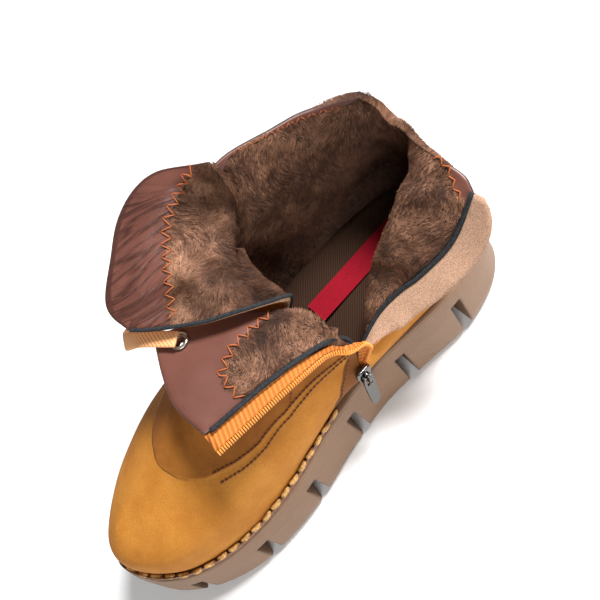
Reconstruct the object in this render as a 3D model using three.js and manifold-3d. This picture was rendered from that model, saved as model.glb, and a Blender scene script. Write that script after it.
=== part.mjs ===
import * as THREE from "three";
import { mergeVertices } from "three/addons/utils/BufferGeometryUtils.js";
import Module from "manifold-3d";

// Right ankle boot, millimetres. X runs from heel to toe, Y to the medial side, Z up from the floor.
// The tables below are in shares of these sizes.
const SOLE_LENGTH = 268;
const HALF_WIDTH = 48; // half the sole at the ball
const HEEL_HEIGHT = 38; // floor to the top of the sole, under the heel
const FORE_HEIGHT = 28.5; // the same under the ball
const TOE_SPRING = 13;
const SHAFT_HEIGHT = 98; // top of the sole to the top of the collar
const REST_X = 24; // where the heel stands, the part's origin
const FIT = 0.3; // gap between pieces that meet
const STAND = 0.45; // gap between the upper and the sole it stands on

const WALL = 3; // leather, backing and lining together
const SOLE_FLARE = 4; // floor edge beyond the top edge
const WELT_LEDGE = 3; // sole top left free in front for the welt
const LUG_BAND = 9; // sole left whole above the grooves
const GROOVE = 6.5;
const CHANNEL = 7; // depth of the groove's middle
const FIRST_GROOVE = 47.4;
const LUG_PITCH = 39;
const GROOVES = 6;

const wasm = await Module();
wasm.setup();

// A smooth curve through equal-length rows of numbers, at position t counted in rows.
function spline(rows, t, closed = false) {
  const n = rows.length;
  const i = closed ? Math.floor(t) : Math.min(Math.max(Math.floor(t), 0), n - 2);
  const f = t - i;
  const row = (k) => {
    if (closed) return rows[((k % n) + n) % n];
    if (k < 0) return rows[0].map((v, j) => 2 * v - rows[1][j]);
    if (k >= n) return rows[n - 1].map((v, j) => 2 * v - rows[n - 2][j]);
    return rows[k];
  };
  const [a, b, c, d] = [row(i - 1), row(i), row(i + 1), row(i + 2)];
  return b.map((v, j) => {
    const bend = 2 * a[j] - 5 * v + 4 * c[j] - d[j] + f * (3 * (v - c[j]) + d[j] - a[j]);
    return v + 0.5 * f * (c[j] - a[j] + f * bend);
  });
}

// The value at x of a smooth curve given as [x, value] pairs.
function valueAt(pairs, x) {
  const last = pairs.length - 1;
  let k = 0;
  while (k < last - 1 && x > pairs[k + 1][0]) k += 1;
  const slope = (i) => {
    const [p, q] = [pairs[Math.max(i - 1, 0)], pairs[Math.min(i + 1, last)]];
    return (q[1] - p[1]) / (q[0] - p[0]);
  };
  const [[x0, y0], [x1, y1]] = [pairs[k], pairs[k + 1]];
  const width = x1 - x0;
  const f = Math.min(Math.max((x - x0) / width, 0), 1);
  const rise = y1 - y0;
  const [s0, s1] = [slope(k) * width, slope(k + 1) * width];
  return y0 + f * (s0 + f * (3 * rise - 2 * s0 - s1 + f * (s0 + s1 - 2 * rise)));
}

const vec = (p) => new THREE.Vector3(...p);

function geometryOf(points, faces) {
  const triangles = faces.flatMap((f) =>
    f.length === 4 ? [f[0], f[1], f[2], f[0], f[2], f[3]] : f,
  );
  const geometry = new THREE.BufferGeometry();
  const position = points.flatMap((p) => [p.x, p.y, p.z]);
  geometry.setAttribute("position", new THREE.Float32BufferAttribute(position, 3));
  geometry.setIndex(triangles);
  return geometry;
}

// A closed solid through rings of equally many points; each ring is closed by its own cap rule.
function loft(rings, capFaces) {
  const n = rings[0].length;
  const faces = [];
  for (let r = 0; r + 1 < rings.length; r += 1) {
    for (let k = 0; k < n; k += 1) {
      const [a, b] = [r * n + k, r * n + ((k + 1) % n)];
      faces.push([a, b, b + n, a + n]);
    }
  }
  const last = (rings.length - 1) * n;
  for (const cap of capFaces(n)) {
    faces.push([...cap].reverse());
    faces.push(cap.map((k) => k + last));
  }
  return geometryOf(rings.flat(), faces);
}

// Caps made of strips from one side of a ring to the other.
function stripCap(n) {
  const faces = [[0, 1, n - 1]];
  for (let k = 1; k < n / 2 - 1; k += 1) faces.push([k, k + 1, n - k - 1, n - k]);
  faces.push([n / 2 - 1, n / 2, n / 2 + 1]);
  return faces;
}
const fanCap = (n) => Array.from({ length: n - 2 }, (_, k) => [0, k + 1, k + 2]);

// Unit normals of a sheet at its points.
function normalsOf(sheet) {
  const normals = sheet.points.map(() => new THREE.Vector3());
  for (const [a, b, c, d] of sheet.quads) {
    const across = sheet.points[c].clone().sub(sheet.points[a]);
    const normal = across.cross(sheet.points[d].clone().sub(sheet.points[b]));
    for (const k of [a, b, c, d]) normals[k].add(normal);
  }
  return normals.map((n) => n.normalize());
}

// A wall of even thickness grown from a sheet along its normals. The points in `sheet.standing` stay
// level, on the sole.
function wallOf(sheet, thickness) {
  const n = sheet.points.length;
  const normals = normalsOf(sheet);
  const far = sheet.points.map((p, k) => {
    const stands = sheet.standing && sheet.standing.has(k);
    if (!stands) return p.clone().addScaledVector(normals[k], thickness);
    const out = p.clone().addScaledVector(normals[k].setZ(0).normalize(), thickness);
    return out.setZ(soleTop(out.x) + STAND);
  });
  const edges = new Set(sheet.quads.flatMap((q) => q.map((a, k) => `${a},${q[(k + 1) % 4]}`)));
  const faces = [];
  for (const q of sheet.quads) {
    faces.push(q.map((k) => k + n), [...q].reverse());
    q.forEach((a, k) => {
      const b = q[(k + 1) % 4];
      if (!edges.has(`${b},${a}`)) faces.push([a, b, b + n, a + n]);
    });
  }
  return geometryOf([...sheet.points, ...far], faces);
}

function solidOf(geometry) {
  const bare = geometry.index ? geometry.toNonIndexed() : geometry;
  for (const name of Object.keys(bare.attributes)) {
    if (name !== "position") bare.deleteAttribute(name);
  }
  const merged = mergeVertices(bare, 1e-4);
  return new wasm.Manifold(
    new wasm.Mesh({
      numProp: 3,
      vertProperties: merged.attributes.position.array,
      triVerts: new Uint32Array(merged.index.array),
    }),
  );
}

function geometryFrom(solid) {
  const mesh = solid.getMesh();
  const geometry = new THREE.BufferGeometry();
  const position = new THREE.Float32BufferAttribute(mesh.vertProperties, 3);
  geometry.setAttribute("position", position);
  geometry.setIndex(Array.from(mesh.triVerts));
  return geometry;
}

const join = (pieces) => geometryFrom(pieces.map(solidOf).reduce((a, b) => a.add(b)));
const cut = (geometry, tools) =>
  geometryFrom(tools.map(solidOf).reduce((a, b) => a.subtract(b), solidOf(geometry)));

// Floor outline of the sole: share of the length, then of the half width on either side.
const SOLE_ROWS = [
  // along, medial, lateral
  [0.019, 0.46, 0.42],
  [0.052, 0.68, 0.62],
  [0.104, 0.82, 0.76],
  [0.179, 0.89, 0.82],
  [0.28, 0.84, 0.854],
  [0.392, 0.79, 0.896],
  [0.504, 0.85, 0.969],
  [0.616, 0.97, 1.03],
  [0.709, 1.01, 1.03],
  [0.802, 0.969, 0.938],
  [0.888, 0.812, 0.729],
  [0.948, 0.583, 0.479],
  [0.985, 0.312, 0.208],
  [1, 0.13, 0.03],
];
const OUTLINE = [
  [0, 0],
  ...SOLE_ROWS.map(([x, medial]) => [x * SOLE_LENGTH, medial * HALF_WIDTH]),
  ...[...SOLE_ROWS].reverse().map(([x, , lateral]) => [x * SOLE_LENGTH, -lateral * HALF_WIDTH]),
];
const AROUND = OUTLINE.length; // places round the outline: 0 heel back, medial rows, toe, lateral

const SOLE_TOP = [
  [0, HEEL_HEIGHT],
  [0.15 * SOLE_LENGTH, HEEL_HEIGHT],
  [0.34 * SOLE_LENGTH, HEEL_HEIGHT - 1],
  [0.49 * SOLE_LENGTH, (HEEL_HEIGHT + FORE_HEIGHT) / 2],
  [0.64 * SOLE_LENGTH, FORE_HEIGHT + 0.8],
  [0.79 * SOLE_LENGTH, FORE_HEIGHT],
  [0.9 * SOLE_LENGTH, FORE_HEIGHT + 0.2 * TOE_SPRING],
  [SOLE_LENGTH, FORE_HEIGHT + 0.58 * TOE_SPRING],
];
const SPRING_START = 0.77 * SOLE_LENGTH;

const soleTop = (x) => valueAt(SOLE_TOP, x);
function soleBottom(x) {
  const rise = Math.max(0, (x - SPRING_START) / (SOLE_LENGTH - SPRING_START));
  return TOE_SPRING * rise * rise;
}

// The outline moved in by a distance, at a place round it.
function outlineAt(place, inset) {
  const [x, y] = spline(OUTLINE, place, true);
  const [x1, y1] = spline(OUTLINE, place + 0.05, true);
  const [x0, y0] = spline(OUTLINE, place - 0.05, true);
  const length = Math.hypot(x1 - x0, y1 - y0);
  return [x + (inset * (y1 - y0)) / length, y - (inset * (x1 - x0)) / length];
}

// A ring of points round the outline, `heightAt` giving z from x.
function ring(count, inset, heightAt) {
  return Array.from({ length: count }, (_, k) => {
    const [x, y] = outlineAt((-k / count) * AROUND, inset);
    return new THREE.Vector3(x, y, heightAt(x));
  });
}

function prism(corners, from, to) {
  const level = (z) => corners.map(([x, y]) => new THREE.Vector3(x, y, z));
  return loft([level(from), level(to)], fanCap);
}

const SIDE_ROWS = [
  // share of the height, share of the flare moved in
  [0, 0.55],
  [0.07, 0.12],
  [0.2, 0],
  [0.62, 0.35],
  [0.96, 0.9],
  [1, 1.1],
];

function grooveTools() {
  const tools = [];
  for (let k = 0; k < GROOVES; k += 1) {
    const x = FIRST_GROOVE + k * LUG_PITCH;
    const top = soleTop(x) - LUG_BAND;
    for (const side of [1, -1]) {
      const deep = side * 0.36 * HALF_WIDTH;
      const out = side * 1.3 * HALF_WIDTH;
      const corners = [
        [x - GROOVE / 2, out],
        [x - GROOVE / 2, deep],
        [x + GROOVE / 2 - 2, deep],
        [x + GROOVE / 2 - 1, side * 0.62 * HALF_WIDTH],
        [x + GROOVE / 2 + 3, out],
      ];
      tools.push(prism(side > 0 ? corners : corners.reverse(), -1, top));
    }
    const channel = [
      [x - GROOVE / 2, -0.4 * HALF_WIDTH],
      [x + GROOVE / 2 - 2, -0.4 * HALF_WIDTH],
      [x + GROOVE / 2 - 2, 0.4 * HALF_WIDTH],
      [x - GROOVE / 2, 0.4 * HALF_WIDTH],
    ];
    tools.push(prism(channel, -1, soleBottom(x) + CHANNEL));
  }
  return tools;
}

function outsole() {
  const rings = SIDE_ROWS.map(([share, moved]) =>
    ring(100, SOLE_FLARE * moved, (x) => {
      const low = soleBottom(x);
      return low + share * (soleTop(x) - low);
    }),
  );
  return cut(loft(rings, stripCap), grooveTools());
}

// Inner face of the upper. Each station stands at a place round the outline and lists its points from
// just above the sole to the top edge: shares of the sole length, the half width and the shaft height
// above the heel seat. Stations over the vamp end at its ridge, the others at the collar.
const STATIONS = [
  { name: "zip front", place: 6, points: [
    [0.388, 0.771, 0.122], [0.375, 0.729, 0.214], [0.364, 0.688, 0.306],
    [0.369, 0.656, 0.388], [0.403, 0.635, 0.469], [0.489, 0.625, 0.571],
    [0.627, 0.604, 0.653]
  ] },
  { name: "medial quarter", place: 6.6, points: [
    [0.455, 0.708, 0.122], [0.437, 0.646, 0.286], [0.399, 0.573, 0.408],
    [0.375, 0.500, 0.520], [0.388, 0.396, 0.597], [0.493, 0.250, 0.684],
    [0.627, 0.167, 0.724]
  ] },
  { name: "throat medial", place: 7.4, points: [
    [0.549, 0.750, 0.122], [0.556, 0.583, 0.316], [0.560, 0.208, 0.469],
    [0.437, 0.208, 0.551], [0.429, 0.083, 0.633], [0.489, -0.188, 0.684],
    [0.582, -0.521, 0.724]
  ] },
  { name: "vamp medial", place: 8.3, points: [
    [0.642, 0.771, 0.092], [0.638, 0.646, 0.276], [0.627, 0.000, 0.439]
  ] },
  { name: "ball medial", place: 9.5, points: [
    [0.765, 0.781, 0.051], [0.757, 0.646, 0.204], [0.739, 0.000, 0.337]
  ] },
  { name: "toe medial", place: 11.2, points: [
    [0.888, 0.583, 0.051], [0.873, 0.479, 0.163], [0.843, 0.000, 0.255]
  ] },
  { name: "toe", place: 14.5, points: [
    [0.959, 0.042, 0.071], [0.940, 0.042, 0.153], [0.907, 0.000, 0.204]
  ] },
  { name: "toe lateral", place: 17.8, points: [
    [0.881, -0.521, 0.051], [0.866, -0.417, 0.163], [0.843, 0.000, 0.255]
  ] },
  { name: "ball lateral", place: 19.5, points: [
    [0.757, -0.812, 0.051], [0.750, -0.667, 0.204], [0.739, 0.000, 0.337]
  ] },
  { name: "vamp lateral", place: 20.7, points: [
    [0.642, -0.833, 0.092], [0.638, -0.688, 0.276], [0.627, 0.000, 0.439]
  ] },
  { name: "throat lateral", place: 21.6, points: [
    [0.549, -0.812, 0.122], [0.556, -0.625, 0.316], [0.560, -0.208, 0.469],
    [0.522, -0.271, 0.520], [0.463, -0.417, 0.602], [0.373, -0.708, 0.755],
    [0.299, -0.896, 0.969]
  ] },
  { name: "lateral quarter", place: 22.6, points: [
    [0.437, -0.792, 0.133], [0.429, -0.812, 0.286], [0.414, -0.792, 0.429],
    [0.388, -0.771, 0.561], [0.358, -0.771, 0.673], [0.317, -0.833, 0.806],
    [0.261, -0.875, 0.949]
  ] },
  { name: "ankle lateral", place: 23.8, points: [
    [0.306, -0.771, 0.133], [0.302, -0.792, 0.286], [0.287, -0.771, 0.429],
    [0.269, -0.771, 0.561], [0.246, -0.771, 0.673], [0.224, -0.792, 0.786],
    [0.198, -0.812, 0.898]
  ] },
  { name: "heel side lateral", place: 25.2, points: [
    [0.164, -0.708, 0.133], [0.160, -0.708, 0.265], [0.153, -0.708, 0.398],
    [0.146, -0.708, 0.520], [0.142, -0.729, 0.622], [0.134, -0.750, 0.724],
    [0.127, -0.771, 0.827]
  ] },
  { name: "heel lateral", place: 27, points: [
    [0.052, -0.500, 0.133], [0.049, -0.500, 0.255], [0.052, -0.500, 0.378],
    [0.052, -0.500, 0.490], [0.052, -0.500, 0.582], [0.049, -0.500, 0.673],
    [0.045, -0.500, 0.755]
  ] },
  { name: "heel back", place: 29, points: [
    [0.022, 0.000, 0.133], [0.022, 0.000, 0.255], [0.030, 0.000, 0.357],
    [0.037, 0.000, 0.459], [0.045, -0.021, 0.551], [0.049, -0.021, 0.643],
    [0.052, -0.042, 0.724]
  ] },
  { name: "heel medial", place: 31, points: [
    [0.052, 0.500, 0.122], [0.056, 0.479, 0.245], [0.063, 0.396, 0.367],
    [0.075, 0.271, 0.469], [0.078, 0.188, 0.561], [0.071, 0.167, 0.633],
    [0.056, 0.229, 0.684]
  ] },
  { name: "rear flap heel", place: 32.5, points: [
    [0.157, 0.688, 0.112], [0.164, 0.625, 0.224], [0.160, 0.438, 0.347],
    [0.142, 0.250, 0.469], [0.123, 0.271, 0.551], [0.093, 0.417, 0.602],
    [0.056, 0.562, 0.653]
  ] },
  { name: "rear flap zip", place: 33.9, points: [
    [0.284, 0.688, 0.112], [0.295, 0.521, 0.184], [0.280, 0.375, 0.255],
    [0.239, 0.354, 0.347], [0.194, 0.438, 0.429], [0.134, 0.646, 0.520],
    [0.056, 0.771, 0.633]
  ] },
  { name: "zip rear", place: 35, points: [
    [0.388, 0.771, 0.122], [0.347, 0.646, 0.173], [0.295, 0.604, 0.235],
    [0.246, 0.667, 0.296], [0.198, 0.792, 0.357], [0.134, 0.896, 0.449],
    [0.067, 0.896, 0.602]
  ] },
];
const ROWS = ["foot", "low", "side", "waist", "fold", "turn", "flap", "edge"];
const SLIT_ROW = ROWS.indexOf("low"); // the zip ends here
const RIDGE_ROW = ROWS.indexOf("waist"); // the vamp ends here
const THROAT_MEDIAL = STATIONS.findIndex((s) => s.name === "throat medial");
const THROAT_LATERAL = STATIONS.findIndex((s) => s.name === "throat lateral");
const LAST = STATIONS.length - 1;

const CURVES = STATIONS.map(({ place, points }, k) => {
  const front = k >= THROAT_MEDIAL - 1 && k <= THROAT_LATERAL + 1;
  const inset = SOLE_FLARE + WALL + (front ? WELT_LEDGE : 1);
  const [x, y] = outlineAt(place, inset);
  return [
    [x, y, soleTop(x) + STAND],
    ...points.map(([along, across, up]) => [
      along * SOLE_LENGTH,
      across * HALF_WIDTH,
      HEEL_HEIGHT + up * SHAFT_HEIGHT,
    ]),
  ];
});

// A point of the inner face: u counts stations, v counts rows.
function upperAt(u, v) {
  const i = Math.min(Math.floor(u), LAST - 1);
  const reaches = (k) => k >= 0 && k <= LAST && v <= CURVES[k].length - 1;
  const at = (k) => spline(CURVES[k], v);
  const [b, c] = [at(i), at(i + 1)];
  const past = (near, far) => near.map((value, j) => 2 * value - far[j]);
  const a = reaches(i - 1) ? at(i - 1) : past(b, c);
  const d = reaches(i + 2) ? at(i + 2) : past(c, b);
  return vec(spline([a, b, c, d], 1 + u - i));
}

const U_STEPS = 3; // columns in a station
const V_STEPS = 3; // levels in a row

function upperSheet() {
  const columns = LAST * U_STEPS;
  const levels = (ROWS.length - 1) * V_STEPS;
  const points = [];
  const standing = new Set();
  const index = new Map();
  const first = (THROAT_MEDIAL + 1) * U_STEPS;
  const last = (THROAT_LATERAL - 1) * U_STEPS;
  const key = (c, l) => {
    if (c === columns && l <= SLIT_ROW * V_STEPS) return `0,${l}`;
    const ridge = l === RIDGE_ROW * V_STEPS && c >= first && c <= last;
    return ridge ? `${Math.min(c, first + last - c)},${l}` : `${c},${l}`;
  };
  const pointIndex = (c, l) => {
    const name = key(c, l);
    if (!index.has(name)) {
      const [column, level] = name.split(",").map(Number);
      const p = upperAt(column / U_STEPS, level / V_STEPS);
      if (level === RIDGE_ROW * V_STEPS && column >= first && column <= last) p.y = 0;
      if (level === 0) standing.add(points.length);
      index.set(name, points.length);
      points.push(p);
    }
    return index.get(name);
  };
  const quads = [];
  for (let c = 0; c < columns; c += 1) {
    const vamp = c >= THROAT_MEDIAL * U_STEPS && c < THROAT_LATERAL * U_STEPS;
    const top = vamp ? RIDGE_ROW * V_STEPS : levels;
    for (let l = 0; l < top; l += 1) {
      const corners = [
        [c, l],
        [c, l + 1],
        [c + 1, l + 1],
        [c + 1, l],
      ];
      quads.push(corners.map(([a, b]) => pointIndex(a, b)));
    }
  }
  return { points, quads, standing };
}

// Where a piece meets the upper: the point of the inner face, its outward normal and two directions.
function frameAt(u, v, uStep = 0.04, vStep = 0.04) {
  const at = (du, dv) => upperAt(u + du, v + dv);
  const [u0, u1] = [u > 0 ? -uStep : 0, u < LAST ? uStep : 0];
  const [v0, v1] = [-vStep, v < ROWS.length - 1 ? vStep : 0];
  const up = at(0, v1).sub(at(0, v0)).normalize();
  const across = at(u1, 0).sub(at(u0, 0));
  const normal = up.clone().cross(across).normalize();
  across.addScaledVector(up, -across.dot(up)).normalize();
  return { point: upperAt(u, v), normal, up, across };
}

const TAPE = 6.5; // zip tape clear of the leather
const COIL = 2.6; // its row of teeth
const GUARD = 13; // strip behind the zip
const SEAM = 1.2; // gap between the leather and the strips sewn behind it
const ZIP_LEAN = 0.8; // how far the open tapes lean outwards

const move = (frame, out, rise) =>
  frame.point.clone().addScaledVector(frame.out, out).addScaledVector(frame.normal, rise);

// Frames up one edge of the zip, `rise` above the inner face; `out` points away from the leather.
function zipFrames(u, skipped, rise) {
  const first = SLIT_ROW * V_STEPS + skipped;
  return Array.from({ length: (ROWS.length - 1) * V_STEPS - first + 1 }, (_, k) => {
    const v = (first + k) / V_STEPS;
    const { point, normal, up, across } = frameAt(u, v, 1 / U_STEPS, 1 / V_STEPS);
    const gap = upperAt(0, v).distanceTo(upperAt(LAST, v));
    const out = across.multiplyScalar(u === 0 ? -1 : 1);
    point.addScaledVector(normal, rise).addScaledVector(out, SEAM);
    out.y += ZIP_LEAN;
    out.addScaledVector(up, -out.dot(up)).normalize();
    normal.addScaledVector(out, -normal.dot(out)).normalize();
    return { v, point, normal, out, gap };
  });
}

// Turns a geometry's faces out if they face in.
function facingOut(geometry) {
  const [p, index] = [geometry.attributes.position, geometry.index.array];
  const corner = (k) => new THREE.Vector3().fromBufferAttribute(p, index[k]);
  let volume = 0;
  for (let k = 0; k < index.length; k += 3) {
    volume += corner(k).dot(corner(k + 1).cross(corner(k + 2)));
  }
  if (volume < 0) geometry.setIndex(Array.from(index).reverse());
  return geometry;
}

// A strip along frames; `section` gives its corners as [out, rise] pairs at a frame.
function strip(frames, section) {
  const rings = frames.map((f, k) => section(f, k).map(([out, rise]) => move(f, out, rise)));
  return facingOut(loft(rings, fanCap));
}

const REAR_START = 1.2; // from the leather's edge to the rear tape
const FRONT_TAPE = [
  // row, start off the leather, share of the full reach
  [1, 0, 1],
  [2, 0.3, 0.9],
  [3, 2.2, 0.7],
  [4, 3.8, 0.75],
  [5, 3, 0.65],
  [6, 1, 0.85],
  [7, 0, 1],
];

function zipTape(u) {
  const column = (k) => FRONT_TAPE.map((row) => [row[0], row[k]]);
  return strip(zipFrames(u, 1, 0.62 * WALL), (f) => {
    const front = [valueAt(column(1), f.v), valueAt(column(2), f.v)];
    const [start, share] = u === 0 ? front : [REAR_START, 1];
    const reach = Math.min(share * (TAPE + COIL), f.gap / 2 - 1.2);
    const bead = Math.max(reach - COIL, start + 0.3);
    return [
      [start, -0.4],
      [bead, -0.4],
      [bead, -0.9],
      [reach, -0.9],
      [reach, 0.9],
      [bead, 0.9],
      [bead, 0.4],
      [start, 0.4],
    ];
  });
}

function zipGuard() {
  const frames = zipFrames(LAST, 2, -0.25);
  return strip(frames, (f, k) => {
    const end = Math.max(0, (k - frames.length + 3) / 2.2);
    const start = Math.min(1, (k + 2) / 4);
    const reach = Math.min(GUARD * start * Math.sqrt(1 - end * end), f.gap * 0.55);
    return [
      [0, -0.7],
      [reach, -0.7],
      [reach, 0.7],
      [0, 0.7],
    ];
  });
}

const EYELET_HOLE = 2.6;
const EYELET_BARREL = 3.4;
const EYELET_FLANGE = 4.4;
const EYELET_LIP = 1.5; // how far its ends stand off the leather
const EYELET_IN = 9; // from the throat edge
const EYELET_LEVELS = [3.2, 3.5, 6.6]; // rows up the throat edge, medial side
const EYELET_LEVELS_LATERAL = [3.4, 4.4, 6.4];

// The frame of an eyelet, found by going in from the throat edge.
function eyeletFrame(throat, v) {
  const way = throat === THROAT_MEDIAL ? -1 : 1;
  const edge = upperAt(throat, v);
  let u = throat;
  while (upperAt(u, v).distanceTo(edge) < EYELET_IN) u += way * 0.01;
  return frameAt(u, v);
}
const EYELETS = {
  medial: EYELET_LEVELS.map((v) => eyeletFrame(THROAT_MEDIAL, v)),
  lateral: EYELET_LEVELS_LATERAL.map((v) => eyeletFrame(THROAT_LATERAL, v)),
};

// A profile of [radius, height] pairs turned about a frame's normal.
function turned(frame, profile) {
  const points = [...profile, profile[0]].map(([r, h]) => new THREE.Vector2(r, h));
  const shape = mergeVertices(new THREE.LatheGeometry(points, 12).deleteAttribute("uv"), 1e-4);
  const turn = new THREE.Quaternion().setFromUnitVectors(
    new THREE.Vector3(0, 1, 0),
    frame.normal,
  );
  shape.applyQuaternion(turn).translate(...frame.point);
  return facingOut(shape);
}

const EYELET = [
  [EYELET_HOLE, -EYELET_LIP],
  [EYELET_FLANGE, -EYELET_LIP],
  [EYELET_FLANGE, 0.8 - EYELET_LIP],
  [EYELET_BARREL, 0.8 - EYELET_LIP],
  [EYELET_BARREL, WALL + EYELET_LIP - 0.8],
  [EYELET_FLANGE, WALL + EYELET_LIP - 0.8],
  [EYELET_FLANGE, WALL + EYELET_LIP],
  [EYELET_HOLE, WALL + EYELET_LIP],
];
const HOLE = [
  [0, -4],
  [EYELET_BARREL + FIT, -4],
  [EYELET_BARREL + FIT, WALL + 4],
  [0, WALL + 4],
];

// Inner face, root to tip, medial edge to lateral edge: shares of length, half width, shaft height.
const TONGUE_ROWS = [
  [
    [0.526, 0.333, 0.327],
    [0.526, 0.188, 0.362],
    [0.526, 0.062, 0.372],
    [0.526, -0.062, 0.372],
    [0.526, -0.188, 0.362],
    [0.526, -0.333, 0.327],
  ],
  [
    [0.470, 0.271, 0.408],
    [0.470, 0.167, 0.439],
    [0.470, 0.042, 0.449],
    [0.466, -0.104, 0.449],
    [0.463, -0.250, 0.439],
    [0.455, -0.417, 0.408],
  ],
  [
    [0.414, 0.208, 0.490],
    [0.414, 0.146, 0.520],
    [0.414, 0.000, 0.541],
    [0.410, -0.167, 0.541],
    [0.403, -0.354, 0.531],
    [0.396, -0.542, 0.500],
  ],
  [
    [0.381, 0.208, 0.571],
    [0.381, 0.146, 0.602],
    [0.381, -0.021, 0.612],
    [0.381, -0.208, 0.622],
    [0.377, -0.396, 0.612],
    [0.369, -0.583, 0.602],
  ],
  [
    [0.384, 0.250, 0.653],
    [0.396, 0.125, 0.673],
    [0.399, -0.062, 0.684],
    [0.396, -0.250, 0.694],
    [0.388, -0.417, 0.694],
    [0.377, -0.562, 0.684],
  ],
  [
    [0.447, 0.110, 0.735],
    [0.436, -0.072, 0.755],
    [0.419, -0.307, 0.781],
    [0.396, -0.488, 0.796],
    [0.367, -0.585, 0.796],
    [0.348, -0.545, 0.776],
  ],
  [
    [0.497, -0.044, 0.765],
    [0.474, -0.241, 0.791],
    [0.442, -0.554, 0.827],
    [0.399, -0.777, 0.857],
    [0.346, -0.841, 0.888],
    [0.318, -0.546, 0.888],
  ],
  [
    [0.537, -0.222, 0.791],
    [0.509, -0.387, 0.816],
    [0.460, -0.705, 0.867],
    [0.416, -0.916, 0.918],
    [0.356, -0.949, 0.969],
    [0.306, -0.678, 0.990],
  ],
  [
    [0.572, -0.403, 0.806],
    [0.562, -0.633, 0.837],
    [0.504, -0.916, 0.908],
    [0.441, -1.098, 0.969],
    [0.372, -1.057, 1.020],
    [0.306, -0.691, 1.041],
  ],
  [
    [0.599, -0.570, 0.816],
    [0.603, -0.962, 0.847],
    [0.542, -1.213, 0.908],
    [0.468, -1.433, 0.969],
    [0.379, -1.323, 1.031],
    [0.306, -0.730, 1.071],
  ],
];
function tongueSheet() {
  const steps = 2;
  const rows = (TONGUE_ROWS.length - 1) * steps;
  const columns = (TONGUE_ROWS[0].length - 1) * steps;
  const points = [];
  for (let r = 0; r <= rows; r += 1) {
    const across = TONGUE_ROWS[0].map((_, c) =>
      spline(
        TONGUE_ROWS.map((row) => row[c]),
        r / steps,
      ),
    );
    for (let c = 0; c <= columns; c += 1) {
      const [x, y, z] = spline(across, c / steps);
      const height = HEEL_HEIGHT + z * SHAFT_HEIGHT;
      points.push(new THREE.Vector3(x * SOLE_LENGTH, y * HALF_WIDTH, height));
    }
  }
  const quads = [];
  for (let r = 0; r < rows; r += 1) {
    for (let c = 0; c < columns; c += 1) {
      const a = r * (columns + 1) + c;
      quads.push([a, a + columns + 1, a + columns + 2, a + 1]);
    }
  }
  return { points, quads };
}

const INSOLE = 4;
const WELT = 2.6;

function insole() {
  const inset = SOLE_FLARE + WALL + WELT_LEDGE + 1;
  const level = (rise, more) => ring(60, inset + more, (x) => soleTop(x) + rise);
  return loft([level(STAND, 0), level(INSOLE - 1, 0), level(INSOLE, 1)], stripCap);
}

const LABEL = { from: 31, to: 98, near: -1.5, far: -15.5 };
function label() {
  const level = (rise) =>
    [
      [LABEL.from, LABEL.far],
      [LABEL.to, LABEL.far],
      [LABEL.to, LABEL.near],
      [LABEL.from, LABEL.near],
    ].map(([x, y]) => new THREE.Vector3(x, y, HEEL_HEIGHT + INSOLE + rise));
  return loft([level(FIT), level(FIT + 0.6)], fanCap);
}

function welt() {
  const count = 48;
  const [from, to] = [6.75, AROUND - 7];
  const rings = Array.from({ length: count + 1 }, (_, k) => {
    const place = from + (k / count) * (to - from);
    const at = (inset, rise) => {
      const [x, y] = outlineAt(place, inset);
      return new THREE.Vector3(x, y, soleTop(x) + rise);
    };
    const inner = SOLE_FLARE + WELT_LEDGE - 1.1;
    return [
      at(SOLE_FLARE + 0.6, STAND),
      at(inner, STAND),
      at(inner - 0.8, STAND + WELT),
      at(SOLE_FLARE + 0.9, STAND + WELT),
    ];
  });
  return facingOut(loft(rings, fanCap));
}

const SLIDER = { above: 0.6, ahead: 2.6, clear: 1.5, long: 9, wide: 8.5, thick: 2.4 };
const BRIDGE = { wide: 2.2, long: 6.2, thick: 1, leg: 0.9 };
const PULL = { length: 21, width: 6.2, thick: 1.5, slot: 5.6 };
const HINGE_GAP = 1.2; // from the hinge line to the plate and to the bridge
const HINGE_RISE = SLIDER.thick + HINGE_GAP;

// The slider's frame, at the foot of the zip: y down along the pull, z out of the leather, x the hinge
// line.
function sliderFrame() {
  const foot = upperAt(0, SLIT_ROW + SLIDER.above);
  const down = new THREE.Vector3(0.27, 0.08, -0.96).normalize();
  const across = down.clone().cross(new THREE.Vector3(-0.1, 0.98, 0.06)).normalize();
  const basis = new THREE.Matrix4().makeBasis(across, down, across.clone().cross(down));
  return basis.setPosition(foot.x + SLIDER.ahead, foot.y + WALL + SLIDER.clear, foot.z);
}
const SLIDER_FRAME = sliderFrame();

// A slab of the slider's frame with an outline in its x and y.
const slab = (corners, from, to) => facingOut(prism(corners, from, to).applyMatrix4(SLIDER_FRAME));
const box = (x0, x1, y0, y1, z0, z1) =>
  slab(
    [
      [x0, y0],
      [x1, y0],
      [x1, y1],
      [x0, y1],
    ],
    z0,
    z1,
  );

// Plate with a bridge over it, which holds the pull's cross bar.
function slider() {
  const [w, l] = [SLIDER.wide / 2, SLIDER.long / 2];
  const plate = slab(
    [
      [-w, -l],
      [w, -l],
      [w, 0],
      [0.7 * w, l],
      [-0.7 * w, l],
      [-w, 0],
    ],
    0,
    SLIDER.thick,
  );
  const [half, reach, under] = [BRIDGE.wide / 2, BRIDGE.long / 2, HINGE_RISE + HINGE_GAP];
  const leg = (y) => box(-half, half, y, y + BRIDGE.leg, SLIDER.thick - 0.2, under + 0.2);
  const top = box(-half, half, -reach, reach, under, under + BRIDGE.thick);
  return join([plate, top, leg(-reach), leg(reach - BRIDGE.leg)]);
}

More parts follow.
